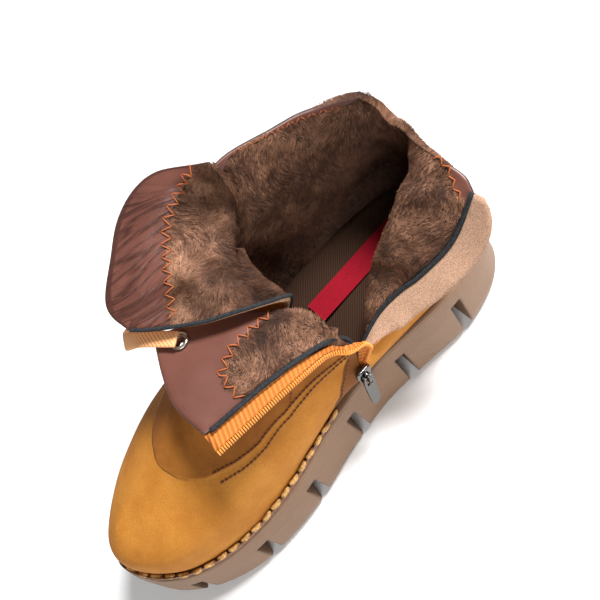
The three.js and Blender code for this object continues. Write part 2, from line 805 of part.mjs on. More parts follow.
// Flat tab with a window; the bar above the window runs under the bridge.
function pull() {
  const [w, t, bar] = [PULL.width / 2, PULL.thick / 2, PULL.thick / 2];
  const tab = slab(
    [
      [-w, -bar],
      [w, -bar],
      [w, PULL.length - 2],
      [w - 1.4, PULL.length],
      [-w + 1.4, PULL.length],
      [-w, PULL.length - 2],
    ],
    HINGE_RISE - t,
    HINGE_RISE + t,
  );
  const side = BRIDGE.wide / 2 + 0.5;
  return cut(tab, [box(-side, side, bar, PULL.slot, HINGE_RISE - 2, HINGE_RISE + 2)]);
}

const LACE = { wide: 8, thick: 1.5, over: 3, clear: 3.9 };

// A flat band along points; `faces` gives the way its flat side looks at each point.
function band(points, faces, wide, steps) {
  const count = (points.length - 1) * steps;
  const frames = Array.from({ length: count + 1 }, (_, k) => {
    const at = (n) => vec(spline(points, Math.min(Math.max(n, 0), count) / steps));
    const ahead = at(k + 0.3).sub(at(k - 0.3));
    const normal = vec(spline(faces, k / steps));
    const out = ahead.clone().cross(normal).normalize();
    return { point: at(k), out, normal: out.clone().cross(ahead).normalize() };
  });
  const [w, t] = [wide / 2, LACE.thick / 2];
  return strip(frames, () => [
    [-w, -t],
    [w, -t],
    [w, t],
    [-w, t],
  ]);
}

const above = (frame, rise) => frame.point.clone().addScaledVector(frame.normal, rise).toArray();

// A bar across the throat, from over one eyelet to over its partner.
function laceBar(k) {
  const rise = WALL + EYELET_LIP + LACE.clear + LACE.thick / 2;
  const [a, b] = [EYELETS.medial[k], EYELETS.lateral[k]];
  const [from, to] = [above(a, rise), above(b, rise)];
  const middle = from.map((value, j) => (value + to[j]) / 2 + (j === 2 ? LACE.over : 0));
  const up = a.normal.clone().add(b.normal).normalize().toArray();
  return band([from, middle, to], [a.normal.toArray(), up, b.normal.toArray()], 5, 6);
}

// Shares of the sole length, half width and shaft height, from the medial side round to the lateral.
const LACE_RUN = [
  [0.597, -0.521, 0.750],
  [0.631, -0.792, 0.673],
  [0.627, -1.083, 0.541],
  [0.578, -1.292, 0.469],
  [0.500, -1.354, 0.500],
  [0.418, -1.271, 0.622],
];

// The slack run between the two top eyelets: off the inner face of the folded flap, down in front of
// the tongue and back to the outer face on the other side.
function laceSlack() {
  const [a, b] = [EYELETS.medial.at(-1), EYELETS.lateral.at(-1)];
  const rise = EYELET_LIP + 1 + LACE.thick / 2;
  const run = LACE_RUN.map(([along, across, up]) => [
    along * SOLE_LENGTH,
    across * HALF_WIDTH,
    HEEL_HEIGHT + up * SHAFT_HEIGHT,
  ]);
  const points = [above(a, -rise), ...run, above(b, WALL + rise + 0.5)];
  const faces = [
    a.normal.clone().negate().toArray(),
    [-0.1, 0.35, 0.9],
    [0.5, 0.1, 0.8],
    [0.8, -0.3, 0.4],
    [0.5, -0.7, 0.3],
    [0, -0.9, 0.3],
    [-0.1, -0.95, 0.2],
    b.normal.toArray(),
  ];
  return band(points, faces, LACE.wide, 4);
}

const boot = new THREE.Group();

function add(name, color, geometry, metalness = 0) {
  const material = new THREE.MeshStandardMaterial({ color, roughness: 0.7, metalness });
  const mesh = new THREE.Mesh(geometry, material);
  mesh.name = name;
  boot.add(mesh);
}

const eyelets = [...EYELETS.medial, ...EYELETS.lateral];
const holes = eyelets.map((frame) => turned(frame, HOLE));

add("outsole", "#b08a6c", outsole());
add("welt", "#9a7350", welt());
add("insole", "#4a382e", insole());
add("insole_label", "#8f1420", label());
add("upper", "#cf8a35", cut(wallOf(upperSheet(), WALL), holes));
add("tongue", "#6e463c", wallOf(tongueSheet(), WALL));
add("zip_tape_front", "#e08a3a", zipTape(0));
add("zip_tape_rear", "#e08a3a", zipTape(LAST));
add("zip_guard", "#c8a284", zipGuard());
EYELETS.medial.forEach((f, k) => add(`eyelet_medial_${k + 1}`, "#8c8c88", turned(f, EYELET), 1));
EYELETS.lateral.forEach((f, k) => add(`eyelet_lateral_${k + 1}`, "#8c8c88", turned(f, EYELET), 1));
add("zip_slider", "#4c4c4e", slider(), 1);
add("zip_pull", "#5a5a5c", pull(), 1);
add("lace_bar_1", "#dd8b45", laceBar(0));
add("lace_bar_2", "#dd8b45", laceBar(1));
add("lace_slack", "#dd8b45", laceSlack());

boot.position.x = -REST_X;
const part = new THREE.Group();
part.add(boot);

export default part;
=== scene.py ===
import math
import random

import bmesh
import bpy
from mathutils import Matrix, Vector, noise


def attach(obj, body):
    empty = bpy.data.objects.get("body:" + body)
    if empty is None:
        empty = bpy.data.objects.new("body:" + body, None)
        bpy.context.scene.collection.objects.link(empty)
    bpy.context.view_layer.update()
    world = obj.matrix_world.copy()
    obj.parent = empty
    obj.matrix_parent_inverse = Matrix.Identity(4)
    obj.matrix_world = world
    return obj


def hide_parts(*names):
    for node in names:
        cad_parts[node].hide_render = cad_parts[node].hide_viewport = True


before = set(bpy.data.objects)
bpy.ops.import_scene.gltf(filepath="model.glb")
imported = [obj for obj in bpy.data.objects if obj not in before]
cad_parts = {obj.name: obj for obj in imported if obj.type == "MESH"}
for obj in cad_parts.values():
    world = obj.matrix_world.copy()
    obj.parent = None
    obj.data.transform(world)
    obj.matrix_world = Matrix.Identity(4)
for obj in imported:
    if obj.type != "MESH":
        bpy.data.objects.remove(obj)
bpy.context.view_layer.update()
noise.seed_set(7)  # the same pile on every run

# Sizes below are millimetres from the back of the heel; the frame starts under the heel.
heelRest = 24.0


def metres(p):
    return Vector(((p[0] - heelRest) / 1000, p[1] / 1000, p[2] / 1000))


# Materials

def newMaterial(name):
    material = bpy.data.materials.new(name)
    material.use_nodes = True
    return material, material.node_tree, material.node_tree.nodes["Principled BSDF"]


def addNode(tree, kind, values=None, **settings):
    made = tree.nodes.new(kind)
    for key, value in settings.items():
        setattr(made, key, value)
    for key, value in (values or {}).items():
        if isinstance(value, bpy.types.NodeSocket):
            tree.links.new(value, made.inputs[key])
        else:
            made.inputs[key].default_value = value
    return made


def wire(tree, socket, target):
    tree.links.new(socket, target)


def rgb(r, g, b):
    return (r, g, b, 1.0)


def grainGroup():
    group = bpy.data.node_groups.new("softGrain", "ShaderNodeTree")
    face = group.interface
    face.new_socket("Vector", in_out="INPUT", socket_type="NodeSocketVector")
    for label in ("Scale", "Detail", "Strength", "Distance"):
        face.new_socket(label, in_out="INPUT", socket_type="NodeSocketFloat")
    face.new_socket("Value", in_out="OUTPUT", socket_type="NodeSocketFloat")
    face.new_socket("Normal", in_out="OUTPUT", socket_type="NodeSocketVector")
    ins = addNode(group, "NodeGroupInput")
    outs = addNode(group, "NodeGroupOutput")
    speck = addNode(group, "ShaderNodeTexNoise", {
        "Vector": ins.outputs["Vector"], "Scale": ins.outputs["Scale"],
        "Detail": ins.outputs["Detail"], "Roughness": 0.6})
    bump = addNode(group, "ShaderNodeBump", {
        "Height": speck.outputs["Fac"], "Strength": ins.outputs["Strength"],
        "Distance": ins.outputs["Distance"]})
    wire(group, speck.outputs["Fac"], outs.inputs["Value"])
    wire(group, bump.outputs["Normal"], outs.inputs["Normal"])
    return group


softGrain = grainGroup()


def grain(tree, vector, scale, detail=4.0, strength=0.5, distance=0.0005):
    return addNode(tree, "ShaderNodeGroup", {
        "Vector": vector, "Scale": scale, "Detail": detail, "Strength": strength,
        "Distance": distance}, node_tree=softGrain)


def mixColours(tree, factor, low, high, blend="MIX"):
    made = addNode(tree, "ShaderNodeMix", data_type="RGBA", blend_type=blend)
    for slot, value in ((0, factor), (6, low), (7, high)):
        if isinstance(value, bpy.types.NodeSocket):
            tree.links.new(value, made.inputs[slot])
        else:
            made.inputs[slot].default_value = value
    return made.outputs[2]


def ramp(tree, socket, low, high):
    made = addNode(tree, "ShaderNodeMapRange", {"Value": socket, "From Min": low, "From Max": high})
    made.interpolation_type = "SMOOTHSTEP"
    return made.outputs["Result"]


def objectSpace(tree):
    return addNode(tree, "ShaderNodeTexCoord").outputs["Object"]


def uvSpace(tree, scale, turn=0.0):
    uv = addNode(tree, "ShaderNodeTexCoord").outputs["UV"]
    if turn:
        uv = addNode(tree, "ShaderNodeMapping",
                     {"Vector": uv, "Rotation": (0, 0, turn)}).outputs["Vector"]
    return addNode(tree, "ShaderNodeMapping", {"Vector": uv, "Scale": scale}).outputs["Vector"]


def attribute(tree, name):
    return addNode(tree, "ShaderNodeAttribute", attribute_name=name).outputs["Fac"]


def plainMaterial(name, colour, rough=0.7, metal=0.0, sheen=0.0, speck=None, shine=0.5):
    material, tree, shader = newMaterial(name)
    shader.inputs["Base Color"].default_value = rgb(*colour)
    shader.inputs["Roughness"].default_value = rough
    shader.inputs["Metallic"].default_value = metal
    shader.inputs["Sheen Weight"].default_value = sheen
    shader.inputs["Specular IOR Level"].default_value = shine
    if speck:
        scale, strength, change = speck
        made = grain(tree, objectSpace(tree), scale, 5.0, strength, 0.0004)
        wire(tree, made.outputs["Normal"], shader.inputs["Normal"])
        dark = rgb(*(c * (1 - change) for c in colour))
        light = rgb(*(min(1, c * (1 + change)) for c in colour))
        fac = ramp(tree, made.outputs["Value"], 0.35, 0.65)
        wire(tree, mixColours(tree, fac, dark, light), shader.inputs["Base Color"])
    return material


def nubuckMaterial():
    # Mustard, more orange above the "panel" seam, and painted shade in dark brown over the "strip"
    # behind the vamp, under the edge of the front flap.
    material, tree, shader = newMaterial("nubuck")
    space = objectSpace(tree)
    patches = grain(tree, space, 45, 3.0)
    fine = grain(tree, space, 1300, 6.0, 0.35, 0.0003)
    fac = ramp(tree, patches.outputs["Value"], 0.3, 0.7)
    warm = mixColours(tree, fac, rgb(0.46, 0.172, 0.019), rgb(0.57, 0.235, 0.033))
    high = mixColours(tree, fac, rgb(0.28, 0.092, 0.011), rgb(0.41, 0.15, 0.02))
    above, behind = attribute(tree, "panel"), attribute(tree, "strip")
    warm = mixColours(tree, ramp(tree, above, -0.3, 0.3), warm, high)
    # Painted shade: the strip under the front flap's edge is darkened to brown.
    warm = mixColours(tree, ramp(tree, behind, -0.4, 0.4), warm, rgb(0.24, 0.085, 0.02))
    fac = ramp(tree, fine.outputs["Value"], 0.3, 0.75)
    tone = mixColours(tree, 1.0, warm, mixColours(tree, fac, rgb(0.8, 0.78, 0.74), rgb(1, 1, 1)),
                      "MULTIPLY")
    wire(tree, tone, shader.inputs["Base Color"])
    step = addNode(tree, "ShaderNodeBump", {
        "Height": ramp(tree, above, -0.9, 0.1), "Strength": 0.9, "Distance": 0.001,
        "Normal": fine.outputs["Normal"]})
    edge = addNode(tree, "ShaderNodeBump", {
        "Height": ramp(tree, behind, -0.3, 0.9), "Strength": 0.9, "Distance": 0.001,
        "Normal": step.outputs["Normal"]}, invert=True)
    wire(tree, edge.outputs["Normal"], shader.inputs["Normal"])
    shader.inputs["Roughness"].default_value = 0.82
    shader.inputs["Specular IOR Level"].default_value = 0.3
    return material


def creaseGroup():
    # Thin valleys where a noise crosses its middle value.
    group = bpy.data.node_groups.new("wrinkles", "ShaderNodeTree")
    face = group.interface
    face.new_socket("Vector", in_out="INPUT", socket_type="NodeSocketVector")
    for label in ("Scale", "Width"):
        face.new_socket(label, in_out="INPUT", socket_type="NodeSocketFloat")
    face.new_socket("Height", in_out="OUTPUT", socket_type="NodeSocketFloat")
    ins = addNode(group, "NodeGroupInput")
    outs = addNode(group, "NodeGroupOutput")
    wave = addNode(group, "ShaderNodeTexNoise", {
        "Vector": ins.outputs["Vector"], "Scale": ins.outputs["Scale"], "Detail": 2.5,
        "Roughness": 0.5, "Distortion": 0.5})
    centred = addNode(group, "ShaderNodeMath", operation="SUBTRACT")
    wire(group, wave.outputs["Fac"], centred.inputs[0])
    centred.inputs[1].default_value = 0.5
    folded = addNode(group, "ShaderNodeMath", operation="ABSOLUTE")
    wire(group, centred.outputs[0], folded.inputs[0])
    valley = addNode(group, "ShaderNodeMapRange", {
        "Value": folded.outputs[0], "From Min": 0.0, "From Max": ins.outputs["Width"]})
    wire(group, valley.outputs["Result"], outs.inputs["Height"])
    return group


wrinkles = creaseGroup()


def liningMaterial():
    # Pile under the strands, coloured in the fur's dark tone as painted shade between the tufts; smooth
    # brown leather beyond the "facing" line, with painted shade in its crease valleys, and dark by the
    # edge.
    material, tree, shader = newMaterial("lining")
    space = objectSpace(tree)
    pile = grain(tree, space, 320, 5.0, 0.9, 0.0012)
    # Painted shade between the tufts: the pile side is coloured in the fur's dark tone.
    pileShadeTone = mixColours(tree, ramp(tree, pile.outputs["Value"], 0.3, 0.7),
                          rgb(0.022, 0.009, 0.005), rgb(0.09, 0.038, 0.021))
    long, short = (addNode(tree, "ShaderNodeGroup", {
        "Vector": uvSpace(tree, stretch, turn), "Scale": 1.0, "Width": width}, node_tree=wrinkles)
        for stretch, turn, width in (((0.03, 0.23, 1), 0.785, 0.085), ((0.11, 0.6, 1), 0.68, 0.2)))
    both = addNode(tree, "ShaderNodeMix", {0: 0.3})
    wire(tree, long.outputs["Height"], both.inputs[2])
    wire(tree, short.outputs["Height"], both.inputs[3])
    flat = addNode(tree, "ShaderNodeMath", operation="MAXIMUM")
    wire(tree, ramp(tree, attribute(tree, "alongU"), 60, 82), flat.inputs[0])
    wire(tree, ramp(tree, attribute(tree, "rim"), 30, 38), flat.inputs[1])
    height = addNode(tree, "ShaderNodeMix")
    for slot, value in ((0, flat.outputs[0]), (2, both.outputs[0])):
        wire(tree, value, height.inputs[slot])
    height.inputs[3].default_value = 0.85
    pores = grain(tree, space, 1500, 3.0, 0.3, 0.0002)
    folds = addNode(tree, "ShaderNodeBump", {
        "Height": height.outputs[0], "Strength": 0.7, "Distance": 0.001,
        "Normal": pores.outputs["Normal"]})
    clouds = grain(tree, space, 60, 3.0)
    high = mixColours(tree, clouds.outputs["Value"], rgb(0.115, 0.038, 0.026), rgb(0.2, 0.075, 0.053))
    # Painted shade in the crease valleys: the leather is darkened where the wrinkle height falls to
    # nothing.
    leatherTone = mixColours(tree, height.outputs[0], rgb(0.055, 0.017, 0.011), high)
    hem = ramp(tree, attribute(tree, "rim"), 2.6, 3.4)
    leatherTone = mixColours(tree, hem, rgb(0.075, 0.025, 0.017), leatherTone)
    side = ramp(tree, attribute(tree, "facing"), -0.15, 0.15)
    tone = mixColours(tree, side, pileShadeTone, leatherTone)
    wire(tree, tone, shader.inputs["Base Color"])
    normal = addNode(tree, "ShaderNodeMix", data_type="VECTOR")
    for slot, value in ((0, side), (4, pile.outputs["Normal"]), (5, folds.outputs["Normal"])):
        wire(tree, value, normal.inputs[slot])
    wire(tree, normal.outputs[1], shader.inputs["Normal"])
    rough = addNode(tree, "ShaderNodeMapRange", {"Value": side, "To Min": 0.95, "To Max": 0.4})
    wire(tree, rough.outputs["Result"], shader.inputs["Roughness"])
    return material


def strandMaterial():
    material, tree, shader = newMaterial("strands")
    # shade carries each tuft's random tone together with painted shade: darker at the root, towards the
    # sole and in the heel pocket.
    shade = attribute(tree, "shade")
    swirl = grain(tree, objectSpace(tree), 42, 3.0)
    patch = ramp(tree, swirl.outputs["Value"], 0.36, 0.64)
    dark = mixColours(tree, patch, rgb(0.026, 0.01, 0.005), rgb(0.085, 0.034, 0.018))
    light = mixColours(tree, patch, rgb(0.21, 0.09, 0.048), rgb(0.58, 0.3, 0.18))
    wire(tree, mixColours(tree, shade, dark, light), shader.inputs["Base Color"])
    shader.inputs["Roughness"].default_value = 0.7
    shader.inputs["Specular IOR Level"].default_value = 0.2
    return material


def rubberMaterial():
    material, tree, shader = newMaterial("soleRubber")
    space = objectSpace(tree)
    wobble = addNode(tree, "ShaderNodeTexNoise", {"Vector": space, "Scale": 30.0, "Detail": 2.0})
    ribs = addNode(tree, "ShaderNodeTexWave", {
        "Vector": space, "Scale": 165.0, "Distortion": 0.6, "Detail": 1.0, "Detail Scale": 0.4},
        wave_type="BANDS", bands_direction="Z")
    bump = addNode(tree, "ShaderNodeBump", {
        "Height": ribs.outputs["Fac"], "Strength": 0.32, "Distance": 0.0005})
    edges = addNode(tree, "ShaderNodeBevel", {"Radius": 0.0026, "Normal": bump.outputs["Normal"]},
                    samples=6)
    wire(tree, edges.outputs["Normal"], shader.inputs["Normal"])
    tone = mixColours(tree, wobble.outputs["Fac"], rgb(0.2, 0.112, 0.061), rgb(0.27, 0.155, 0.088))
    line = mixColours(tree, ribs.outputs["Fac"], rgb(0.88, 0.86, 0.84), rgb(1, 1, 1))
    wire(tree, mixColours(tree, 1.0, tone, line, "MULTIPLY"), shader.inputs["Base Color"])
    shader.inputs["Roughness"].default_value = 0.55
    return material


def tapeMaterial():
    # Slanted rungs over the tape, a fine weave between them.
    material, tree, shader = newMaterial("zipTape")
    rungs = addNode(tree, "ShaderNodeTexWave", {
        "Vector": uvSpace(tree, (1, 1, 1), 0.3), "Scale": 0.145, "Distortion": 0.4},
        wave_type="BANDS", bands_direction="X")
    weave = addNode(tree, "ShaderNodeTexWave", {
        "Vector": uvSpace(tree, (1, 1, 1)), "Scale": 0.5, "Distortion": 0.5},
        wave_type="BANDS", bands_direction="Y")
    height = addNode(tree, "ShaderNodeMath", operation="MULTIPLY_ADD")
    wire(tree, weave.outputs["Fac"], height.inputs[0])
    height.inputs[1].default_value = 0.35
    wire(tree, rungs.outputs["Fac"], height.inputs[2])
    bump = addNode(tree, "ShaderNodeBump", {
        "Height": height.outputs[0], "Strength": 0.7, "Distance": 0.0005})
    wire(tree, bump.outputs["Normal"], shader.inputs["Normal"])
    tone = mixColours(tree, weave.outputs["Fac"], rgb(0.4, 0.1, 0.008), rgb(0.56, 0.16, 0.014))
    wire(tree, mixColours(tree, rungs.outputs["Fac"], tone, rgb(0.7, 0.235, 0.035)),
         shader.inputs["Base Color"])
    shader.inputs["Roughness"].default_value = 0.7
    return material


def laceMaterial():
    material, tree, shader = newMaterial("woven")
    space = uvSpace(tree, (1, 1, 1))
    one = addNode(tree, "ShaderNodeTexWave", {"Vector": space, "Scale": 0.3},
                  wave_type="BANDS", bands_direction="DIAGONAL")
    cross = addNode(tree, "ShaderNodeTexChecker", {"Vector": space, "Scale": 0.9})
    bump = addNode(tree, "ShaderNodeBump", {
        "Height": cross.outputs["Fac"], "Strength": 0.6, "Distance": 0.0005})
    wire(tree, bump.outputs["Normal"], shader.inputs["Normal"])
    tone = mixColours(tree, cross.outputs["Fac"], rgb(0.62, 0.21, 0.055), rgb(0.87, 0.42, 0.17))
    wire(tree, mixColours(tree, one.outputs["Fac"], tone, rgb(0.9, 0.5, 0.24)),
         shader.inputs["Base Color"])
    shader.inputs["Roughness"].default_value = 0.75
    return material


def insoleMaterial():
    material, tree, shader = newMaterial("ribbedTextile")
    space = objectSpace(tree)
    slant = addNode(tree, "ShaderNodeMapping", {"Vector": space, "Rotation": (0, 0, 0.785)})
    ribs = addNode(tree, "ShaderNodeTexWave", {
        "Vector": slant.outputs["Vector"], "Scale": 300.0, "Distortion": 1.5, "Detail": 1.0},
        wave_type="BANDS", bands_direction="X")
    bump = addNode(tree, "ShaderNodeBump", {
        "Height": ribs.outputs["Fac"], "Strength": 0.4, "Distance": 0.0006})
    wire(tree, bump.outputs["Normal"], shader.inputs["Normal"])
    wire(tree, mixColours(tree, ribs.outputs["Fac"], rgb(0.026, 0.012, 0.007),
                          rgb(0.062, 0.031, 0.019)), shader.inputs["Base Color"])
    shader.inputs["Roughness"].default_value = 0.95
    shader.inputs["Specular IOR Level"].default_value = 0.1
    return material


nubuck = nubuckMaterial()
lining = liningMaterial()
strands = strandMaterial()
soleRubber = rubberMaterial()
zipOrange = tapeMaterial()
lace = laceMaterial()
ribbed = insoleMaterial()
collarLeather = plainMaterial("collarLeather", (0.17, 0.062, 0.04), 0.5, speck=(500, 0.5, 0.3))
darkBinding = plainMaterial("darkBinding", (0.055, 0.024, 0.017), 0.55, speck=(900, 0.4, 0.3))
blueBinding = plainMaterial("blueBinding", (0.013, 0.016, 0.019), 0.85, speck=(1100, 1.0, 0.7))
rawEdge = plainMaterial("rawEdge", (0.42, 0.24, 0.14), 0.85, speck=(1200, 0.5, 0.3))
suede = plainMaterial("suede", (0.5, 0.295, 0.19), 0.9, sheen=0.1, speck=(2300, 1.0, 0.36))
redLabel = plainMaterial("redLabel", (0.26, 0.003, 0.013), 0.8, speck=(1500, 0.3, 0.15), shine=0.15)
gunmetal = plainMaterial("gunmetal", (0.13, 0.125, 0.12), 0.36, 1.0)
bright = plainMaterial("sliderMetal", (0.16, 0.155, 0.15), 0.2, 1.0)
eyeletMetal = plainMaterial("eyeletMetal", (0.55, 0.53, 0.5), 0.3, 1.0)
coilPlastic = plainMaterial("coilPlastic", (0.8, 0.3, 0.05), 0.38)
zigzagThread = plainMaterial("zigzagThread", (0.4, 0.098, 0.022), 0.6)
seamThread = plainMaterial("seamThread", (0.19, 0.06, 0.017), 0.5)
weltThread = plainMaterial("weltThread", (0.58, 0.32, 0.1), 0.6, speck=(900, 0.5, 0.4))
weltLeather = plainMaterial("weltLeather", (0.2, 0.085, 0.035), 0.6, speck=(700, 0.4, 0.3))
print("stage: materials")


# Tables of the upper and the tongue

upperStations = [  # foot, low, side, waist, fold, turn, flap, edge
    ("zip front", [(105.1, 29.9, 36.4), (104, 37, 50), (100.5, 35, 59), (97.6, 33, 68),
        (98.9, 31.5, 76), (108, 30.5, 84), (131.1, 30, 94), (168, 29, 102)]),
    ("medial quarter", [(124.2, 29.3, 34.4), (121.9, 34, 50), (117.1, 31, 66), (106.9, 27.5, 78),
        (100.5, 24, 89), (104, 19, 96.5), (132.1, 12, 105), (168, 8, 109)]),
    ("throat medial", [(149.4, 33.3, 31.8), (147.1, 36, 50), (149, 28, 69), (150.1, 10, 84),
        (117.1, 10, 92), (115, 4, 100), (131.1, -9, 105), (156, -25, 109)]),
    ("vamp medial", [(174, 37.6, 29.6), (172.1, 37, 47), (171, 31, 65), (168, 0, 81)]),
    ("ball medial", [(201.9, 38.1, 28.8), (205, 37.5, 43), (202.9, 31, 58), (198.1, 0, 71)]),
    ("toe medial", [(236.8, 28.3, 31), (238, 28, 43), (234, 23, 54), (225.9, 0, 63)]),
    ("toe", [(258.5, 2.4, 34.6), (257, 2, 45), (251.9, 2, 53), (243.1, 0, 58)]),
    ("toe lateral", [(236.4, -24.3, 30.9), (236.1, -25, 43), (232.1, -20, 54), (225.9, 0, 63)]),
    ("ball lateral", [(200.9, -38, 28.8), (202.9, -39, 43), (201, -32, 58), (198.1, 0, 71)]),
    ("vamp lateral", [(173.3, -39.8, 29.6), (172.1, -40, 47), (171, -33, 65), (168, 0, 81)]),
    ("throat lateral", [(148.4, -37.9, 31.9), (147.1, -39, 50), (149, -30, 69), (150.1, -10, 84),
        (139.9, -13, 89), (124.1, -20, 97), (100, -34, 112), (80.1, -43, 133)]),
    ("lateral quarter", [(118.3, -34.4, 35), (117.1, -38, 51), (115, -39, 66), (111, -38, 80),
        (104, -37, 93), (95.9, -37, 104), (85, -40, 117), (69.9, -42, 131)]),
    ("ankle lateral", [(81.3, -33.4, 37.9), (82, -37, 51), (80.9, -38, 66), (76.9, -37, 80),
        (72.1, -37, 93), (65.9, -37, 104), (60, -38, 115), (53.1, -39, 126)]),
    ("heel side lateral", [(44.2, -31, 38.4), (44, -34, 51), (42.9, -34, 64), (41, -34, 77),
        (39.1, -34, 89), (38.1, -35, 99), (35.9, -36, 109), (34, -37, 119)]),
    ("heel lateral", [(18.6, -23.2, 38.5), (13.9, -24, 51), (13.1, -24, 63), (13.9, -24, 75),
        (13.9, -24, 86), (13.9, -24, 95), (13.1, -24, 104), (12.1, -24, 112)]),
    ("heel back", [(8, -0, 38.5), (5.9, 0, 51), (5.9, 0, 63), (8, 0, 73),
        (9.9, 0, 83), (12.1, -1, 92), (13.1, -1, 101), (13.9, -2, 109)]),
    ("heel medial", [(18.7, 26.2, 38.5), (13.9, 24, 50), (15, 23, 62), (16.9, 19, 74),
        (20.1, 13, 84), (20.9, 9, 93), (19, 8, 100), (15, 11, 105)]),
    ("rear flap heel", [(38.5, 33.7, 38.5), (42.1, 33, 49), (44, 30, 60), (42.9, 21, 72),
        (38.1, 12, 84), (33, 13, 92), (24.9, 20, 97), (15, 27, 102)]),
    ("rear flap zip", [(71.4, 32.6, 38.1), (76.1, 33, 49), (79.1, 25, 56), (75, 18, 63),
        (64.1, 17, 72), (52, 21, 80), (35.9, 31, 89), (15, 37, 100)]),
    ("zip rear", [(105.1, 29.9, 36.4), (104, 37, 50), (93, 31, 55), (79.1, 29, 61),
        (65.9, 32, 67), (53.1, 38, 73), (35.9, 43, 82), (18, 43, 97)]),
]

tongueRows = [  # root to tip, medial to lateral
    [(141, 16, 70), (141, 9, 73.5), (141, 3, 74.5), (141, -3, 74.5), (141, -9, 73.5), (141, -16, 70)],
    [(126, 13, 78), (126, 8, 81), (126, 2, 82), (125, -5, 82), (124, -12, 81), (122, -20, 78)],
    [(111, 10, 86), (111, 7, 89), (111, 0, 91), (110, -8, 91), (108, -17, 90), (106, -26, 87)],
    [(102, 10, 94), (102, 7, 97), (102, -1, 98), (102, -10, 99), (101, -19, 98), (99, -28, 97)],
    [(103, 12, 102), (106, 6, 104), (107, -3, 105), (106, -12, 106), (104, -20, 106), (101, -27, 105)],
    [(120, 5.3, 110), (117, -3.5, 112), (112.3, -14.7, 114.5),
     (106, -23.4, 116), (98.4, -28, 116), (93.3, -26, 114)],
    [(133, -2, 113), (127, -11.6, 115.5), (118.5, -26.6, 119),
     (107, -37.3, 122), (92.7, -40.4, 125), (85, -26, 125)],
    [(144, -10.7, 115.5), (136.4, -18.6, 118), (123.3, -34, 123),
     (111.5, -44, 128), (95.4, -45.6, 133), (82, -32.5, 135)],
    [(153.3, -19.3, 117), (150.6, -30.4, 120), (135, -44, 127),
     (118, -52.7, 133), (99.7, -50.7, 138), (82, -33, 140)],
    [(160.5, -27.4, 118), (161.6, -46, 121), (145, -58, 127),
     (125.4, -69, 133), (101.6, -63.5, 139), (82, -35, 143)],
]

# Surfaces of the upper and the tongue

def splineAt(rows, t):
    last = len(rows) - 1
    k = min(max(int(math.floor(t)), 0), last - 1)
    f = t - k
    b, c = rows[k], rows[k + 1]
    a = rows[k - 1] if k > 0 else b * 2 - c
    d = rows[k + 2] if k + 2 <= last else c * 2 - b
    return b + (f / 2) * (c - a + f * (2 * a - 5 * b + 4 * c - d + f * (3 * (b - c) + d - a)))


curves = [[Vector(p) for p in points] for name, points in upperStations]
tongueGrid = [[Vector(p) for p in row] for row in tongueRows]
lastStation, lastRow, lastTongueRow, tongueSide = len(curves) - 1, 7, len(tongueGrid) - 1, 5
throatMedial, throatLateral, ridgeRow = 2, 10, 3  # stations of the vamp, and its top row


def upperAt(u, v):
    k = min(int(u), lastStation - 1)

    def reaches(n):
        return 0 <= n <= lastStation and v <= len(curves[n]) - 1

    b, c = splineAt(curves[k], v), splineAt(curves[k + 1], v)
    a = splineAt(curves[k - 1], v) if reaches(k - 1) else b * 2 - c
    d = splineAt(curves[k + 2], v) if reaches(k + 2) else c * 2 - b
    return splineAt([a, b, c, d], 1 + u - k)


def tongueAt(u, v):
    return splineAt([splineAt([row[c] for row in tongueGrid], v) for c in range(tongueSide + 1)], u)


# Creases, listed one by one: from, to, half width and height.
upperCreases = [
    ((51.7, 25.4, 79), (40, 37, 82.6), 4.0, 1.1),
    ((60, 20, 74), (45, 30, 78), 5.0, -1.2),
    ((32, 17, 93), (24, 36, 91), 5.0, -1.3),
    ((28, 15, 97), (20, 30, 97), 4.0, 1.0),
    ((70, 24, 62), (58, 32, 68), 4.0, 0.9),
    ((12, -14, 104), (12, 4, 101), 5.0, 1.2),
    ((15, -26, 104), (14, -25, 84), 4.5, -1.6),
    ((14, -10, 98), (11, -8, 76), 5.0, 1.0),
    ((40, -35, 112), (44, -34, 84), 6.0, 0.9),
    ((70, -38, 116), (76, -37, 82), 6.0, -1.2),
    ((55, -38, 112), (60, -37, 80), 5.0, 1.0),
    ((94, -37, 100), (108, -38, 76), 6.0, 1.1),
    ((104, 22, 92), (112, 10, 99), 4.5, -1.0),
    ((108, 27, 90), (120, 20, 98), 4.5, 0.9),
    ((124, 25, 96), (134, 14, 104), 5.0, -0.9),
    ((180, -32, 58), (176, 0, 78), 6.0, -0.8),
    ((180, 32, 58), (177, 0, 78), 6.0, -0.8),
    ((190, -30, 56), (187, 0, 75), 6.0, 0.6),
    ((120, 34, 50), (132, 32, 66), 4.0, 0.7),
    ((46, 33, 47), (58, 31, 56), 5.0, 0.8),
    ((20, -24, 60), (40, -34, 56), 6.0, 0.7),
    ((84, -38, 66), (112, -38, 62), 6.0, 0.8),
]
tongueCreases = [
    ((103, 8, 97), (128, -22, 119), 6.0, -1.0),
    ((104, -4, 104), (106, -26, 118), 5.0, 1.1),
    ((112, -6, 110), (136, -12, 115), 5.0, 0.9),
    ((98, -22, 110), (92, -34, 124), 4.5, -1.2),
    ((120, -20, 118), (112, -36, 126), 6.0, -0.8),
    ((140, -30, 121), (158, -40, 121), 5.0, 0.8),
    ((122, -48, 131), (134, -62, 131), 5.0, 0.7),
    ((104, -44, 134), (110, -62, 136), 5.0, -0.7),
]


def creaseHeight(p, creases):
    total = 0.0
    for start, end, width, height in creases:
        a, b = Vector(start), Vector(end)
        along = b - a
        share = min(max((p - a).dot(along) / along.length_squared, 0.0), 1.0)
        away = (p - a - along * share).length / width
        if away < 2.6:
            total += height * math.exp(-away * away)
    return total


